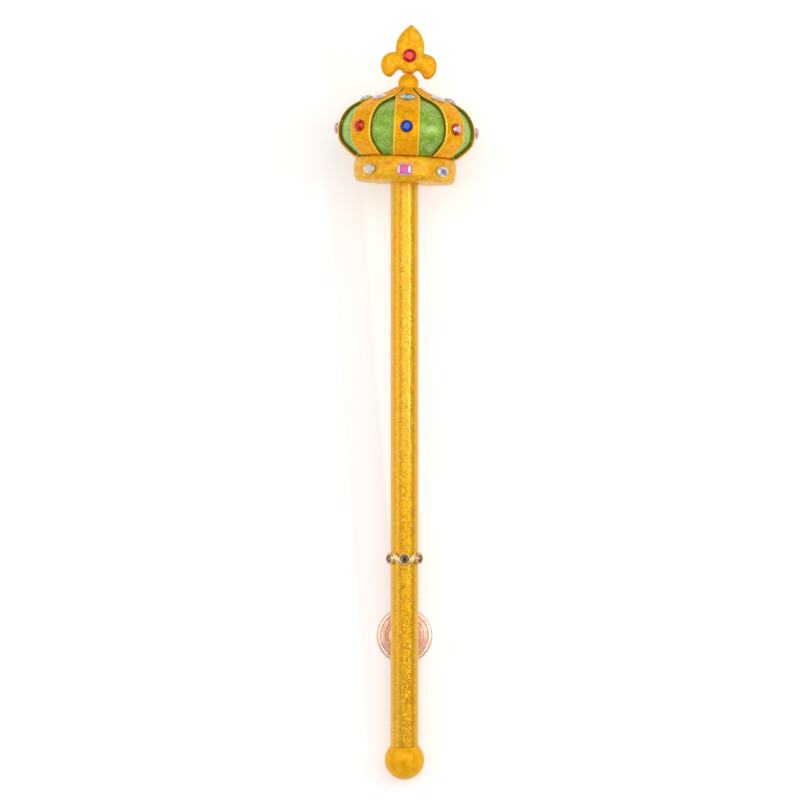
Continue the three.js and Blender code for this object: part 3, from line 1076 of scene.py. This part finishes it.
@dataclass
class Rosette:
    """The turned rose gold disc behind the grip, flat on the floor."""

    radius: float = 25.4 * MM
    base_radius: float = 23.2 * MM

    def make(self) -> None:
        """Builds the disc from its turned profile."""
        low, high = (np.array(corner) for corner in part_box("back_rosette"))
        r = self.radius
        profile = np.vstack([
            [[0, 0], [self.base_radius, 0]],
            arc((r - 2.2 * MM, 2.2 * MM), 2.2 * MM, -60, 90, 10),
            [[r - 3.6 * MM, 4.4 * MM]],
            arc((r - 5.0 * MM, 3.9 * MM), 0.9 * MM, -20, -160, 6),
            arc((r - 7.1 * MM, 4.7 * MM), 1.3 * MM, 10, 170, 8),
            arc((r - 9.2 * MM, 4.9 * MM), 0.7 * MM, -20, -160, 6),
            [[r - 11.4 * MM, 7.6 * MM], [r - 14.2 * MM, 9.4 * MM], [0, 9.8 * MM]],
        ])
        surface = lathe(rounded(profile, 0.45 * MM), 120)
        surface.points += ((low[0] + high[0]) / 2, (low[1] + high[1]) / 2, 0)
        hand_over(build("turned_rosette", surface, Finish.ROSE.material()), "back_rosette")


# ------------------------------------------------------------------------------ stones


class Cut(Enum):
    """How a stone is cut."""

    BRILLIANT = "brilliant"
    STEP = "step"


@dataclass
class Brilliant:
    """A flat-backed round or oval stone: a low girdle, break facets, star facets and a table."""

    radius: float
    height: float
    stretch: float = 1.0
    table_sides: int = 8
    girdle: float = 0.28
    table: float = 0.52
    star: float = 0.8

    def surface(self, seed: int) -> Surface:
        """Rings of corners at the back, the girdle, the stars and the table.

        A star corner's height is where the plane of the two table corners beside it and the
        girdle passes over it, so that the facets between them are flat.

        Args:
            seed: seed of the facets' tones.

        Returns:
            The stone along +Z with its back at height 0.
        """
        n = self.table_sides
        half = math.pi / n
        low = self.girdle * self.height
        table, star = self.table * self.radius, self.star * self.radius
        drop = (self.height - low) * (star * math.cos(half) - table) / (self.radius - table)
        rings = [
            (2 * n, self.radius, 0.0, 0.0), (2 * n, self.radius, low, 0.0),
            (n, star, self.height - drop, half), (n, table, self.height, 0.0),
        ]
        points = []
        for count, size, level, turn in rings:
            angle = turn + np.arange(count) * 2 * math.pi / count
            points.append(np.stack([size * np.cos(angle), size * np.sin(angle), level + 0 * angle], axis=1))
        i, j = np.arange(2 * n), np.arange(n)
        rim, stars, tables = 2 * n, 4 * n, 5 * n
        after, beside = (i + 1) % (2 * n), (j + 1) % n
        left, middle, right = rim + 2 * j, rim + 2 * j + 1, rim + (2 * j + 2) % (2 * n)
        wall = np.stack([i, after, rim + after, rim + i], axis=1)
        star_facets = np.stack([tables + j, stars + j, tables + beside], axis=1)
        breaks = np.vstack([np.stack([stars + j, left, middle], 1), np.stack([stars + j, middle, right], 1)])
        kites = np.stack([tables + beside, stars + j, right, stars + beside], axis=1)
        fan_back = np.stack([np.full(2 * n, 6 * n), after, i], axis=1)
        fan_table = np.stack([np.full(n, 6 * n + 1), tables + j, tables + beside], axis=1)
        points += [np.array([[0, 0, 0], [0, 0, self.height]])]
        random = np.random.default_rng(seed)
        # Facet tones at random: below 0 painted shade, above 1 towards a painted glint, the table always 1.
        tones = np.concatenate([
            random.uniform(-1, 0, len(wall)), random.uniform(-0.4, 1.4, n),
            random.uniform(-0.9, 0.5, 2 * n), random.uniform(-0.5, 0.9, n),
            np.zeros(2 * n), np.full(n, 1.0),
        ])
        faces = [wall, star_facets, breaks, kites, fan_back, fan_table]
        return Surface(np.vstack(points) * (self.stretch, 1, 1), faces, {}, tones).outward()


@dataclass
class StepCut:
    """A flat-backed oblong stone with cut corners that narrows upwards in steps."""

    half_width: float
    half_height: float
    height: float
    cut: float = 0.36

    def surface(self, seed: int) -> Surface:
        """Loops of eight corners: share of the size against share of the height.

        Args:
            seed: seed of the facets' tones.

        Returns:
            The stone along +Z with its back at height 0.
        """
        share = np.array([1.0, 1.0, 0.86, 0.70, 0.52])[:, None]
        level = np.array([0.0, 0.25, 0.55, 0.8, 1.0])[:, None] * self.height
        w, h, c = self.half_width, self.half_height, self.cut * self.half_height
        x = np.array([w, w, w - c, c - w, -w, -w, c - w, w - c]) * share
        y = np.array([c - h, h - c, h, h, h - c, c - h, -h, -h]) * share
        surface = loft(np.stack([x, y, level + 0 * x], axis=-1))
        random = np.random.default_rng(seed)
        # Facet tones by row: low rows darker with painted shade, the table 1.
        limits = ((-1, 0), (-0.3, 0.1), (-0.2, 0.5), (0.2, 0.9))
        rows = [random.uniform(low, high, 8) for low, high in limits]
        surface.tones = np.concatenate([*rows, np.zeros(8), np.full(8, 1.0)])
        return surface


@dataclass
class SetStone:
    """A stone that takes its place and its size from its CAD node."""

    node: str
    finish: Finish
    slot: str
    crown: Place
    cut: Cut = Cut.BRILLIANT

    def seat(self) -> tuple[Place, float, float, float]:
        """Reads the node's flat back, its outward direction and its sizes.

        The outward direction is the one in which the corners spread least, turned away from the
        crown's axis; across runs level round the crown.

        Returns:
            The stone's own frame, half its width, half its height and its thickness.
        """
        points = node_points(self.node)
        middle, spread = main_axes(points)
        outward = spread[2]
        local = self.crown.take(middle[None])[0]
        away = np.array([local[0], local[1], 0.2 * abs(local[2])]) @ self.crown.axes
        if outward @ away < 0:
            outward = -outward
        across = np.cross(self.crown.axes[2], outward)
        across /= np.linalg.norm(across)
        axes = np.stack([across, np.cross(outward, across), outward])
        spans = (points - middle) @ axes.T
        low, high = spans.min(axis=0), spans.max(axis=0)
        centre = middle + ((low + high) / 2 * (1, 1, 0) + (0, 0, low[2])) @ axes
        return Place(centre, axes), (high[0] - low[0]) / 2, (high[1] - low[1]) / 2, high[2] - low[2]

    def make(self) -> None:
        """Cuts the stone to the node's size and sets it."""
        place, wide, tall, thick = self.seat()
        seed = sum(map(ord, self.node)) * 7
        if self.cut is Cut.STEP:
            surface = StepCut(wide, tall, thick).surface(seed)
        else:
            surface = Brilliant(tall, thick, wide / tall).surface(seed)
        surface = surface.placed(place).above_floor()
        piece = build(f"set_{self.node}", surface, self.finish.material(), smooth=False)
        hand_over(piece, self.node)


# ------------------------------------------------------------------------------ crown


@dataclass
class Crown:
    """The closed crown: circlet, dome, eight arches, neck ball and all its stones."""

    place: Place
    arches: int = 8
    seat: float = 22.3 * MM
    gap: float = 0.3 * MM
    radius: float = 46.2 * MM
    height: float = 22 * MM
    swell: float = 1.4 * MM
    bottom_corner: float = 3.6 * MM
    top_corner: float = 1.6 * MM
    bore: float = 14.6 * MM
    mouth: float = 12.95 * MM
    shaft_end: float = 42.6 * MM
    neck_radius: float = 9.3 * MM
    neck_height: float = 89.5 * MM
    neck_bottom: float = 83.8 * MM
    half_width: float = 12 * MM
    taper: float = 1.6 * MM
    thickness: float = 2 * MM
    bead: float = 0.6 * MM
    bead_place: float = 0.9
    bead_spread: float = 0.055
    crown_of_strap: float = 0.15 * MM
    shoulder_drop: float = 0.5 * MM
    taper_reach: float = 38 * MM
    equator: float = 43 * MM
    closest: float = math.radians(1.1)
    # Share of the half width past which each listed arch's top takes painted shade; 0.99 on the others.
    wall_shade_from: dict[int, float] = field(default_factory=lambda: {2: 0.93, 6: 0.93})
    nudge: dict[int, float] = field(
        default_factory=lambda: {1: math.radians(0.8), 7: math.radians(2.2)})
    outline: np.ndarray = field(default_factory=lambda: MM * np.array([
        [42.9, 22.3], [52.1, 29.8], [58.1, 37], [59.3, 46.2], [57.1, 55.3], [51.8, 63],
        [44.1, 68.3], [35.4, 72], [26.7, 75.3], [17.9, 78.8], [9.8, 83.5],
    ]))

    def circlet(self) -> Surface:
        """A band with round edges, open inside for the shaft.

        At the share s of its height its side lies at radius - swell (2 s - 1)^2.

        Returns:
            The surface, in the world.
        """
        top, edge = self.height, self.radius - self.swell
        low, high = self.bottom_corner, self.top_corner
        share = np.linspace(0.2, 0.9, 14)
        side = np.stack([self.radius - self.swell * (2 * share - 1) ** 2, share * top], axis=1)
        section = np.vstack([
            [[self.mouth, 0]], arc((edge - low, low), low, -90, -6, 10), side,
            arc((edge - high, top - high), high, 6, 90, 6),
            [[self.bore, top], [self.bore, 2 * MM]],
        ])
        section = rounded(np.vstack([section, section[:1]]), 0.9 * MM)[:-1]
        surface = ring(section, 320)
        fine, broad = lumps(surface.points, 1.5 * MM, 3), lumps(surface.points, 9 * MM, 4)
        grain = fine * 0.10 * MM + broad * 0.14 * MM
        reach = np.hypot(*surface.points[:, :2].T) / self.radius
        at_side = np.clip((reach - 0.7) / 0.2, 0, 1)
        surface.pushed(grain * at_side - 0.1 * MM * at_side)
        return surface.without_beads().placed(self.place)

    def dome(self) -> Surface:
        """The turned body, hollow where the shaft's end sits and flat under the neck ball.

        Returns:
            The surface, in the world.
        """
        skin = spline(self.outline, np.linspace(0, 1, 100))
        top = np.array([[0, self.outline[-1, 1]]])
        socket = np.array([[0, self.shaft_end], [self.bore, self.shaft_end], [self.bore, self.seat]])
        profile = np.vstack([rounded(np.vstack([socket, skin[:1]]), 3 * MM)[:-1], skin, top])
        surface = lathe(profile, 240)
        fine, broad = lumps(surface.points, 1.6 * MM, 5), lumps(surface.points, 10 * MM, 6)
        grain = fine * 0.07 * MM + broad * 0.18 * MM
        at_side = np.clip((np.hypot(*surface.points[:, :2].T) - 20 * MM) / (8 * MM), 0, 1)
        surface.pushed((grain - 0.15 * MM) * at_side)
        return surface.without_beads().placed(self.place)

    def width_at(self, place: np.ndarray) -> np.ndarray:
        """Half an arch's width: it narrows away from the equator, and its neighbours stop it.

        Args:
            place: radius and height on the dome's outline, one row for each place.

        Returns:
            One half width for each place.
        """
        free = self.half_width - self.taper * ((place[:, 1] - self.equator) / self.taper_reach) ** 2
        shared = place[:, 0] * math.sin(math.pi / self.arches - self.closest) - self.gap / 2
        return np.minimum(free, shared)

    def arch(self, index: int) -> Surface:
        """A strap bent over the dome: at half width w, offset x and lift d it lies at radius
        r + d cos of the slope, turned sideways by x, so that its point is (x, -sqrt(R^2 - x^2)).

        Args:
            index: which arch, counted from the front to the right.

        Returns:
            The surface, in the world, with its edge value: 1 at the bead, above 1 on the walls, which carry
            painted shade.
        """
        share = np.linspace(0, 1, 110)
        place = spline(self.outline, share)
        slope = np.gradient(place, axis=0)
        slope /= np.linalg.norm(slope, axis=1, keepdims=True)
        normal = np.stack([slope[:, 1], -slope[:, 0]], axis=1)
        crest = self.gap + self.thickness
        bead_side = np.linspace(0.72, 1, 9)
        across = np.concatenate([-bead_side[::-1], np.linspace(-0.6, 0.6, 9), bead_side])
        side = np.abs(across)
        bump = np.exp(-(((side - self.bead_place) / self.bead_spread) ** 2))
        shoulder = self.shoulder_drop * np.clip((side - 0.95) / 0.05, 0, 1)
        top = crest + self.crown_of_strap * (1 - side**2) + self.bead * bump - shoulder
        right_wall = np.linspace(top[-1], self.gap, 5)[1:-1]
        left_wall = np.linspace(self.gap, top[0], 5)[1:-1]
        under = np.linspace(1, -1, 9)
        x_share = np.concatenate([across, np.ones(3), under, -np.ones(3)])
        lift = np.concatenate([top, right_wall, np.full(9, self.gap), left_wall])
        # Painted shade: past that share the top takes the walls' value 1.2, as the walls and the underside
        # do.
        top_with_wall_shade = np.where(side > self.wall_shade_from.get(index, 0.99), 1.2, side)
        edge = np.concatenate([top_with_wall_shade, np.full(15, 1.2)])
        x = -self.width_at(place)[:, None] * x_share
        reach = place[:, :1] + normal[:, :1] * lift
        height = np.maximum(place[:, 1:] + normal[:, 1:] * lift, self.seat)
        loops = np.stack([x, -np.sqrt(np.maximum(reach**2 - x**2, 0)), height], axis=-1)
        foot = place[:, 1:] < self.seat + 1.2 * MM
        surface = loft(loops, {"edge": np.where(foot, np.minimum(edge, 0.85), edge)})
        grain = lumps(surface.points, 1.4 * MM, 20 + index) * 0.07 * MM
        surface.pushed(grain * (surface.values["edge"] < 0.8))
        turn = 2 * math.pi * index / self.arches + self.nudge.get(index, 0.0)
        surface.points = surface.points @ about_z(turn)
        return surface.placed(self.place)

    def neck_ball(self) -> Surface:
        """A slightly lumpy ball that runs down into a short stem of the same width.

        Returns:
            The surface, in the world.
        """
        r, middle, foot = self.neck_radius, self.neck_height, self.neck_bottom
        stem = np.array([[0, foot], [r - 0.6 * MM, foot], [r, foot + 0.6 * MM]])
        profile = np.vstack([stem, arc((0, middle), r, 0, 90, 30)])
        profile[-1, 0] = 0
        surface = lathe(rounded(profile, 0.7 * MM), 72)
        surface.pushed(lumps(surface.points, 2.5 * MM, 9) * 0.1 * MM - 0.1 * MM)
        return surface.without_beads().placed(self.place)

    def stones(self) -> list[SetStone]:
        """All stones of the crown: those on the arches, the shoulders and the circlet.

        Returns:
            The stones, ready to be made.
        """
        arch = [Finish.BLUE, Finish.RUBY, Finish.CANDY, Finish.RED] * 2
        arch_slots = ["blue_stone", "red_stone", "pink_stone", "red_stone"]
        shoulder = [Finish.AQUA, Finish.BLUSH, Finish.ICE, Finish.BLUSH]
        shoulder_slots = ["aqua_stone", "pink_stone", "clear_stone", "pink_stone"]
        band = [Finish.PINK, Finish.MAUVE, Finish.CLEAR] * 2
        made = []
        for i in range(self.arches):
            made.append(SetStone(f"arch_gem_{i + 1}", arch[i], arch_slots[i % 4], self.place))
            made.append(SetStone(f"shoulder_gem_{i + 1}", shoulder[i % 4], shoulder_slots[i % 4], self.place))
        for i, finish in enumerate(band):
            cut, slot = (Cut.BRILLIANT, "clear_stone") if i % 3 else (Cut.STEP, "pink_stone")
            made.append(SetStone(f"circlet_gem_{i + 1}", finish, slot, self.place, cut))
        return made

    def make(self) -> None:
        """Builds every piece of the crown."""
        gold = Finish.GOLD.material()
        hand_over(build("glitter_circlet", self.circlet(), Finish.BAND.material()), "circlet")
        hand_over(build("glitter_dome", self.dome(), Finish.GREEN.material()), "dome")
        for index in range(self.arches):
            piece = build(f"glitter_arch_{index + 1}", self.arch(index), gold)
            hand_over(piece, f"arch_{index + 1}")
        hand_over(build("glitter_neck_ball", self.neck_ball(), gold), "neck_ball")
        for stone in self.stones():
            stone.make()


@dataclass
class Lily:
    """The puffy fleur-de-lis and its red stone, in the finial's frame."""

    place: Place
    foot: float = 8.1 * MM
    aside: float = -0.7 * MM
    thickness: float = 8.4 * MM
    puff: float = 6.5 * MM
    crease_depth: float = 0.9 * MM
    crease_width: float = 1.3 * MM
    cell: float = 0.42 * MM
    smoothings: int = 6

    def outline(self) -> np.ndarray:
        """The outline: a pointed middle petal over two round petals that curl down to a foot.

        Returns:
            Points of x and z, from the right of the foot round to its left.
        """
        half = [
            np.array([[5.3, 0.9]]),
            bezier(np.array([[5.3, 0.9], [5.5, 3.4], [7.0, 3.8], [8.6, 3.6]]), 10),
            bezier(np.array([[8.6, 3.6], [11.6, 3.2], [13.2, -3.6], [17, -3.4]]), 18),
            bezier(np.array([[17, -3.4], [22.6, -3], [25.3, 3], [25.2, 8.6]]), 22),
            bezier(np.array([[25.2, 8.6], [25, 15], [19.6, 20.2], [12.5, 19.4]]), 22),
            bezier(np.array([[12.5, 19.4], [13.9, 27.5], [12.2, 36.2], [0, 45.2]]), 40),
        ]
        right = np.vstack(half)
        left = right[-2::-1] * (-1, 1)
        return np.vstack([right, left]) * MM

    def slab(self) -> bpy.types.Mesh:
        """The outline as a thick plate of even small cells, made by a voxel remesh.

        Returns:
            The plate's mesh, its middle plane at y = 0.
        """
        outline = self.outline()
        count = len(outline)
        half = self.thickness / 2
        front = np.column_stack([outline[:, 0], np.full(count, -half), outline[:, 1]])
        points = np.vstack([front, front * (1, -1, 1)])
        i = np.arange(count)
        wall = np.stack([i, (i + 1) % count, (i + 1) % count + count, i + count], axis=1)
        mesh = bpy.data.meshes.new("plate")
        faces = [i.tolist(), (i[::-1] + count).tolist(), *wall[:, ::-1].tolist()]
        mesh.from_pydata(points.tolist(), [], faces)
        plate = bpy.data.objects.new("plate", mesh)
        bpy.context.scene.collection.objects.link(plate)
        remesh = plate.modifiers.new("cells", "REMESH")
        remesh.mode = "VOXEL"
        remesh.voxel_size = self.cell
        finished = plate.evaluated_get(bpy.context.evaluated_depsgraph_get())
        result = bpy.data.meshes.new_from_object(finished)
        bpy.data.objects.remove(plate)
        return result

    def petals(self) -> Surface:
        """The plate puffed up: its half thickness is the quarter round of the distance to the
        outline, less soft creases between the petals and along the middle petal.

        Returns:
            The surface, in the world.
        """
        mesh = self.slab()
        flat = np.empty(len(mesh.vertices) * 3)
        mesh.vertices.foreach_get("co", flat)
        points = flat.reshape(-1, 3)
        corners = np.empty(len(mesh.loops), dtype=int)
        mesh.loops.foreach_get("vertex_index", corners)
        quads = corners.reshape(-1, 4)
        outline = self.outline()
        start, end = outline, np.roll(outline, -1, axis=0)
        away = distance_to_lines(points[:, [0, 2]], start, end)
        rise = np.clip(away / self.puff, 0, 1)
        half = self.thickness / 2 * np.sqrt(1 - (1 - rise) ** 2)
        creases = np.array([
            [[11.5, 18.6], [6.5, 15.0]], [[-11.5, 18.6], [-6.5, 15.0]], [[2.6, 39], [3.4, 27]],
            [[-2.6, 38], [-3.0, 27]], [[9.4, 4.4], [5.0, 8.4]], [[-9.4, 4.4], [-5.0, 8.4]],
        ]) * MM
        near = distance_to_lines(points[:, [0, 2]], creases[:, 0], creases[:, 1])
        half -= self.crease_depth * np.exp(-((near / self.crease_width) ** 2)) * rise
        inside = np.sign(points[:, 1]) * np.minimum(np.abs(points[:, 1]) * 2 / self.thickness, 1)
        points[:, 1] = inside * half
        surface = Surface(points, [quads]).outward()
        for _ in range(self.smoothings):
            surface.points = smoothed(surface.points, quads)
        surface.pushed(lumps(surface.points, 1.8 * MM, 15) * 0.10 * MM)
        # Painted shade: the edge value rises to 0.9 at the outline, where the edge colour darkens the rim.
        surface.values["edge"] = np.clip(0.9 - away / (2.2 * MM), 0, 1)
        surface.points += (self.aside, 0, self.foot)
        bpy.data.meshes.remove(mesh)
        return surface.placed(self.place)

    def make(self) -> None:
        """Builds the finial and its stone."""
        piece = build("puffy_fleur_de_lis", self.petals(), Finish.LILY.material())
        hand_over(piece, "fleur_de_lis")
        SetStone("fleur_gem", Finish.RED, "red_stone", self.place).make()


def distance_to_lines(points: np.ndarray, start: np.ndarray, end: np.ndarray) -> np.ndarray:
    """The distance from each point to the nearest of some straight lines.

    The nearest place on a line is start + t (end - start), with t = (p - start) · (end - start)
    over the line's squared length, kept between 0 and 1.

    Args:
        points: array of x, y.
        start: the lines' starts.
        end: the lines' ends.

    Returns:
        One distance for each point.
    """
    along = end - start
    offset = points[:, None] - start
    t = np.clip((offset * along).sum(-1) / np.maximum((along**2).sum(-1), 1e-18), 0, 1)
    return np.linalg.norm(offset - t[..., None] * along, axis=-1).min(axis=1)


def smoothed(points: np.ndarray, quads: np.ndarray) -> np.ndarray:
    """Moves every point halfway to the mean of its neighbours along the faces' sides.

    Args:
        points: the points.
        quads: four corners for each face.

    Returns:
        The moved points.
    """
    total, count = np.zeros_like(points), np.zeros(len(points))
    for side in range(4):
        a, b = quads[:, side], quads[:, (side + 1) % 4]
        np.add.at(total, a, points[b])
        np.add.at(count, a, 1)
        np.add.at(total, b, points[a])
        np.add.at(count, b, 1)
    return (points + total / count[:, None]) / 2


# ------------------------------------------------------------------------------ studio


@dataclass
class Studio:
    """The pale floor, the soft lights and the camera above the sceptre's front."""

    place: Place
    middle: float = 341.6 * MM
    aside: float = -4.0 * MM
    distance: float = 3.66
    view_width: float = 0.72
    sensor: float = 36.0
    glow: float = 0.34

    def floor(self) -> None:
        """A wide pale floor with a faint mottle, a sheet that is lit a little from below."""
        size = 6.0
        mesh = bpy.data.meshes.new("floor")
        corners = [(-size, -size, 0), (size, -size, 0), (size, size, 0), (-size, size, 0)]
        mesh.from_pydata(corners, [], [(0, 1, 2, 3)])
        floor = bpy.data.objects.new("floor", mesh)
        bpy.context.scene.collection.objects.link(floor)
        material, nodes, shader = start_material("pale_floor")
        mottle = effect(nodes, Effect.MOTTLE, Size=0.4, Contrast=1.0, Offset=0.0)
        pale = nodes.mix(mottle.outputs["Value"], (0.79, 0.79, 0.785), (0.81, 0.81, 0.805))
        nodes.fill(shader.inputs["Base Color"], pale)
        shader.inputs["Roughness"].default_value = 0.9
        shader.inputs["Emission Color"].default_value = (1, 1, 1, 1)
        shader.inputs["Emission Strength"].default_value = self.glow
        mesh.materials.append(material)

    def lamp(
        self, name: str, spot: tuple[float, float, float], aim: float, size: tuple[float, float],
        power: float,
    ) -> None:
        """An area light that looks at a place on the sceptre.

        Args:
            name: the light's name.
            spot: right, front and along distances from the sceptre's butt.
            aim: distance from the butt to the place that it looks at.
            size: its width and its length along the sceptre.
            power: its power in watts.
        """
        light = bpy.data.lights.new(name, "AREA")
        light.shape = "RECTANGLE"
        light.size, light.size_y = size
        light.energy = power
        lamp = bpy.data.objects.new(name, light)
        bpy.context.scene.collection.objects.link(lamp)
        where = self.place.put(np.array([spot[0], -spot[1], spot[2]]))
        back = where - self.place.put(np.array([0, 0, aim]))
        back /= np.linalg.norm(back)
        side = np.cross(self.place.axes[2], back)
        side /= np.linalg.norm(side)
        turned = Matrix(np.stack([side, np.cross(back, side), back], axis=1)).to_4x4()
        lamp.matrix_world = Matrix.Translation(where) @ turned

    def camera(self) -> None:
        """The camera straight above the front, its view as wide as view_width at the shaft."""
        data = bpy.data.cameras.new("camera")
        data.sensor_width = self.sensor
        data.lens = self.sensor * self.distance / self.view_width
        data.clip_end = 50
        camera = bpy.data.objects.new("camera", data)
        bpy.context.scene.collection.objects.link(camera)
        right, back, up = self.place.axes[0], -self.place.axes[1], self.place.axes[2]
        where = self.place.put(np.array([self.aside, -self.distance, self.middle]))
        camera.matrix_world = Matrix.Translation(where) @ Matrix(np.stack([right, up, back], axis=1)).to_4x4()
        bpy.context.scene.camera = camera

    def make(self) -> None:
        """Sets up the floor, the lights, the sky and the camera."""
        self.floor()
        self.lamp("key", (1.35, 1.5, 0.66), 0.5, (0.13, 0.8), 7)
        self.lamp("top", (0.1, 2.4, 1.1), 0.66, (2.4, 1.7), 20)
        self.lamp("left", (-1.9, 1.1, 0.5), 0.44, (1.4, 1.4), 6)
        world = bpy.data.worlds.new("sky")
        world.use_nodes = True
        world.node_tree.nodes["Background"].inputs["Color"].default_value = (1, 1, 1, 1)
        world.node_tree.nodes["Background"].inputs["Strength"].default_value = 0.52
        bpy.context.scene.world = world
        bpy.context.scene.view_settings.view_transform = "Standard"
        self.camera()


# ------------------------------------------------------------------------------ the whole


@dataclass
class Sceptre:
    """The whole sceptre, laid out from the shaft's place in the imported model."""

    shaft_start: float = 14 * MM
    crown_height: float = 537 * MM
    crown_lean: float = math.radians(2.3)
    neck_height: float = 89.5 * MM
    lily_lean: float = math.radians(1.7)

    def base(self) -> Place:
        """Finds the shaft's frame from the shaft's own solid.

        Returns:
            The frame, its origin at the bottom of the ball.
        """
        points = node_points("shaft")
        middle, spread = main_axes(points)
        along = spread[0] if spread[0][1] > 0 else -spread[0]
        right = np.array([1.0, 0, 0])
        back = np.cross(along, right)
        start = middle + along * ((points - middle) @ along).min()
        return Place(start - along * self.shaft_start, np.stack([right, back, along]))

    def make(self) -> Place:
        """Builds every sub-assembly in order.

        Returns:
            The shaft's frame, for the studio.
        """
        base = self.base()
        crown = base.inner(self.crown_height, self.crown_lean)
        lily = crown.inner(self.neck_height, self.lily_lean)
        Shaft(base).make()
        GripRing(base).make()
        Rosette().make()
        Crown(crown).make()
        Lily(lily).make()
        return base


def main() -> None:
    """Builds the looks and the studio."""
    logging.basicConfig(level=logging.INFO, format="%(message)s")
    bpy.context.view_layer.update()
    base = Sceptre().make()
    Studio(base).make()


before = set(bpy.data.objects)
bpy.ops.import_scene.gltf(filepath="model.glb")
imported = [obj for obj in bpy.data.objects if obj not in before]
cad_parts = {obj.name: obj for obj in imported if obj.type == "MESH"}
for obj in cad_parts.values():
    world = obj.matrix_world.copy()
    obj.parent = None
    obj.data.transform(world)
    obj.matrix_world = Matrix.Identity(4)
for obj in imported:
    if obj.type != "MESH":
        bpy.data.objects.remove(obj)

if __name__ == "__main__":
    main()
